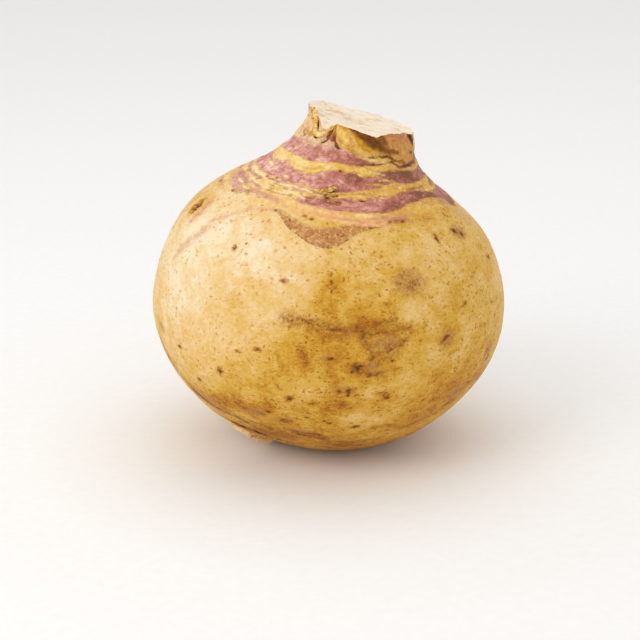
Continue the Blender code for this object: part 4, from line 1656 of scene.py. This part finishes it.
@dataclass(frozen=True)
class TaprootStub:
    """The taproot, cut off close to the bulb, with a torn lip round its cut face."""

    points_to: tuple[float, float, float] = (-0.47, -0.10, -0.88)
    radius: float = 8.4
    neck_radius: float = 7.8
    depth: float = 9.0
    sides: int = 96
    lip: float = 0.8
    rings: tuple[float, ...] = (0.8, 1.1, 1.4, 1.5, 1.5)
    sharp: float = 60.0

    def build(
        self, shape: BulbShape, scale: float, bark: bpy.types.Material, flesh: bpy.types.Material
    ) -> bpy.types.Object:
        """Model the stub.

        Args:
            shape: The root that it grows from.
            scale: Metres in one of the shape's millimetres.
            bark: Material of its side.
            flesh: Material of its cut face.

        Returns:
            The finished piece.
        """
        mesh = bmesh.new()
        bmesh.ops.create_cone(
            mesh, cap_ends=True, segments=self.sides, radius1=self.neck_radius, radius2=self.radius,
            depth=self.depth, matrix=Matrix.Translation((0, 0, -self.depth / 2)),
        )
        upright = [edge for edge in mesh.edges if abs(edge.verts[0].co.z - edge.verts[1].co.z) > 1]
        bmesh.ops.subdivide_edges(mesh, edges=upright, cuts=16)
        rim = list(self._cut_face(mesh).edges)
        bmesh.ops.bevel(mesh, geom=rim, offset=self.lip, segments=4, profile=0.5, affect="EDGES", material=-1)
        cut = self._cut_face(mesh)
        for width in self.rings:
            cut.material_index = 1
            bmesh.ops.inset_region(mesh, faces=[cut], thickness=width, depth=-0.06)
        cut.material_index = 1
        self._weather(mesh)
        facing = Vector(self.points_to).to_track_quat("Z", "Y").to_matrix().to_4x4()
        ground = Matrix.Translation(Vector(STUB_MIDDLE) - Vector((0, 0, shape.sole)))
        bmesh.ops.transform(mesh, matrix=ground @ facing, verts=mesh.verts)
        return finished(mesh, "taproot_stub", scale, self.sharp, bark, flesh)

    def _cut_face(self, mesh: bmesh.types.BMesh) -> bmesh.types.BMFace:
        """The plug's upper end, which becomes the cut."""
        ends = [face for face in mesh.faces if len(face.verts) > 8]
        return max(ends, key=lambda face: face.calc_center_median().z)

    def _weather(self, mesh: bmesh.types.BMesh) -> None:
        """Make the plug's side lumpy and its lip uneven."""
        for corner in mesh.verts:
            flat = Vector((corner.co.x, corner.co.y, 0))
            far = flat.length
            if far < 1e-6:
                continue
            way = flat / far
            edge = min(far / self.radius, 1.0)
            lumps = 0.55 * noise.noise(way * 1.6) + 0.3 * noise.noise(corner.co / 2.1)
            corner.co += way * lumps * edge
            corner.co.z += (0.35 * noise.noise(corner.co / 3.0) - 0.1) * edge


@dataclass(frozen=True)
class Softbox:
    """A square light that faces the root: its place, size, power in watts and colour."""

    name: str
    place: tuple[float, float, float]
    size: float
    power: float
    colour: tuple[float, float, float]


@dataclass(frozen=True)
class Studio:
    """Pale floor, soft lights and the camera."""

    scale: float
    room_colour: tuple[float, float, float, float] = (1.0, 0.99, 0.975, 1.0)
    room_strength: float = 0.84
    softboxes: tuple[Softbox, ...] = (
        Softbox("key_light", (-620, -560, 640), 520, 2.4, (1.0, 0.985, 0.96)),
        Softbox("top_light", (60, 200, 900), 700, 0.8, (1.0, 0.99, 0.97)),
    )
    floor_size: float = 6000.0
    camera_focus: tuple[float, float, float] = (-3.2, 0.0, 41.9)
    camera_distance: float = 522.0
    camera_rise: float = 18.0
    camera_lens: float = 85.0
    sensor_width: float = 36.0
    floor_rough: float = 0.9

    def lay_floor(self) -> bpy.types.Object:
        """Lay the floor under the root."""
        mesh = bmesh.new()
        half = self.floor_size * self.scale / 2
        bmesh.ops.create_grid(mesh, x_segments=2, y_segments=2, size=half)
        data = bpy.data.meshes.new("studio_floor")
        mesh.to_mesh(data)
        mesh.free()
        floor = placed("studio_floor", data)
        material, paint, shader = new_material("floor_paper")
        tooth = paint.grain(paint.place(), 300.0, 2.0)
        white = paint.ramp(tooth, ((0.3, tint(247, 247, 247)), (0.7, tint(250, 250, 250))))
        paint.feed(shader.inputs["Base Color"], white)
        shader.inputs["Roughness"].default_value = self.floor_rough
        data.materials.append(material)
        return floor

    def light(self) -> None:
        """Hang the soft lights and fill the room with pale light."""
        world = bpy.data.worlds.new("studio_room")
        bpy.context.scene.world = world
        world.use_nodes = True
        background = world.node_tree.nodes["Background"]
        background.inputs["Color"].default_value = self.room_colour
        background.inputs["Strength"].default_value = self.room_strength
        for box in self.softboxes:
            self._hang(box)

    def _hang(self, box: Softbox) -> None:
        """Hang one light and turn it to the root."""
        data = bpy.data.lights.new(box.name, "AREA")
        data.shape = "SQUARE"
        data.size = box.size * self.scale
        data.energy = box.power
        data.color = box.colour
        lamp = placed(box.name, data)
        lamp.location = Vector(box.place) * self.scale
        focus = Vector(self.camera_focus) * self.scale
        lamp.rotation_euler = (focus - lamp.location).to_track_quat("-Z", "Y").to_euler()

    def aim_camera(self) -> None:
        """Set the camera up in front of the root, a little above it."""
        data = bpy.data.cameras.new("camera")
        data.lens = self.camera_lens
        data.sensor_width = self.sensor_width
        camera = placed("camera", data)
        rise = math.radians(self.camera_rise)
        focus = Vector(self.camera_focus) * self.scale
        back = Vector((0, -math.cos(rise), math.sin(rise))) * self.camera_distance * self.scale
        camera.location = focus + back
        camera.rotation_euler = (-back).to_track_quat("-Z", "Y").to_euler()
        bpy.context.scene.camera = camera


HUSK_STRANDS = (
    Strand("husk_loop", (
        (-152.6, 63.6, 0.0, 0.5), (-151.2, 62.8, 0.4, 0.7), (-149.2, 61.7, 0.5, 0.7),
        (-147.0, 60.4, 0.5, 0.65), (-144.4, 59.0, 0.5, 0.7), (-141.2, 57.8, 0.4, 0.9),
        (-136.8, 57.2, 0.35, 0.95), (-132.4, 57.3, 0.4, 0.75), (-129.0, 58.1, 0.45, 0.6),
        (-127.0, 59.2, 0.45, 0.5), (-125.8, 60.2, 0.35, 0.4), (-125.0, 61.0, 0.1, 0.3),
    ), flatness=0.75),
    Strand("husk_rib", (
        (-157.4, 65.0, 0.1, 0.55), (-155.6, 63.4, 0.35, 0.7), (-153.4, 61.8, 0.4, 0.65),
        (-151.0, 60.2, 0.35, 0.6), (-148.4, 58.8, 0.3, 0.6), (-145.0, 57.6, 0.2, 0.5),
        (-141.5, 56.8, 0.0, 0.35),
    ), flatness=0.7),
)

HUSK_KNOT = KnobCluster("husk_knot", (
    (-152.6, 63.0, 0.35, 1.05), (-154.2, 62.1, 0.4, 0.9), (-151.4, 63.9, 0.2, 0.8), (-155.4, 61.3, 0.2, 0.65),
    (-150.2, 62.6, 0.1, 0.7),
))

BUD = KnobCluster("shoulder_bud", (
    (-98.0, 43.4, 0.8, 1.0), (-100.4, 43.7, 0.5, 0.7), (-95.8, 43.8, 0.7, 0.8), (-98.8, 42.0, 0.7, 0.8),
    (-95.0, 42.5, 0.5, 0.7), (-102.2, 43.2, 0.3, 0.45), (-93.4, 42.6, 0.2, 0.5), (-97.4, 41.1, 0.3, 0.5),
))

EYE_KNOBS = KnobCluster("eye_buds", (
    (-163.4, 31.8, -0.3, 0.8), (-162.2, 30.6, -0.3, 0.6), (-164.6, 32.6, -0.2, 0.55),
    (-163.0, 33.2, -0.1, 0.5),
))


DRY_TINTS = (
    ("dry_husk", tint(255, 228, 166), tint(230, 176, 72), tint(128, 74, 20)),
    ("corky_bud", tint(236, 196, 112), tint(160, 100, 30), tint(74, 38, 12)),
    ("taproot_bark", tint(252, 222, 164), tint(240, 196, 126), tint(176, 118, 60)),
)

OLD_CUT = ("old_cut", tint(222, 182, 128), tint(196, 148, 94), tint(140, 94, 54), (1.0, 1.0, 1.0), 0.75)


def main() -> None:
    """Build the rutabaga's looks and the studio round it."""
    logging.basicConfig(level=logging.INFO, format="%(name)s: %(message)s")
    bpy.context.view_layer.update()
    low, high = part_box(NODE)
    scale = (high.x - low.x) / NOMINAL_WIDTH
    bpy.context.scene.view_settings.view_transform = "Standard"
    shape = BulbShape()
    marks = SkinMarks()
    patterns = SharedPatterns()
    skin = SkinFinish(patterns).make()
    flesh = FleshFinish(patterns).make()
    husk, knob, bark = (DryFinish(patterns, *tints).make() for tints in DRY_TINTS)
    old_cut = FleshFinish(patterns, *OLD_CUT).make()
    stand_in(RootBody(shape, marks, scale).build(skin, flesh))
    for strand in HUSK_STRANDS:
        stand_in(strand.build(shape, scale, husk))
    for cluster, finish in ((HUSK_KNOT, husk), (BUD, knob), (EYE_KNOBS, knob)):
        stand_in(cluster.build(shape, scale, finish))
    stand_in(TaprootStub().build(shape, scale, bark, old_cut))
    studio = Studio(scale)
    studio.lay_floor()
    studio.light()
    studio.aim_camera()


if __name__ == "__main__":
    main()
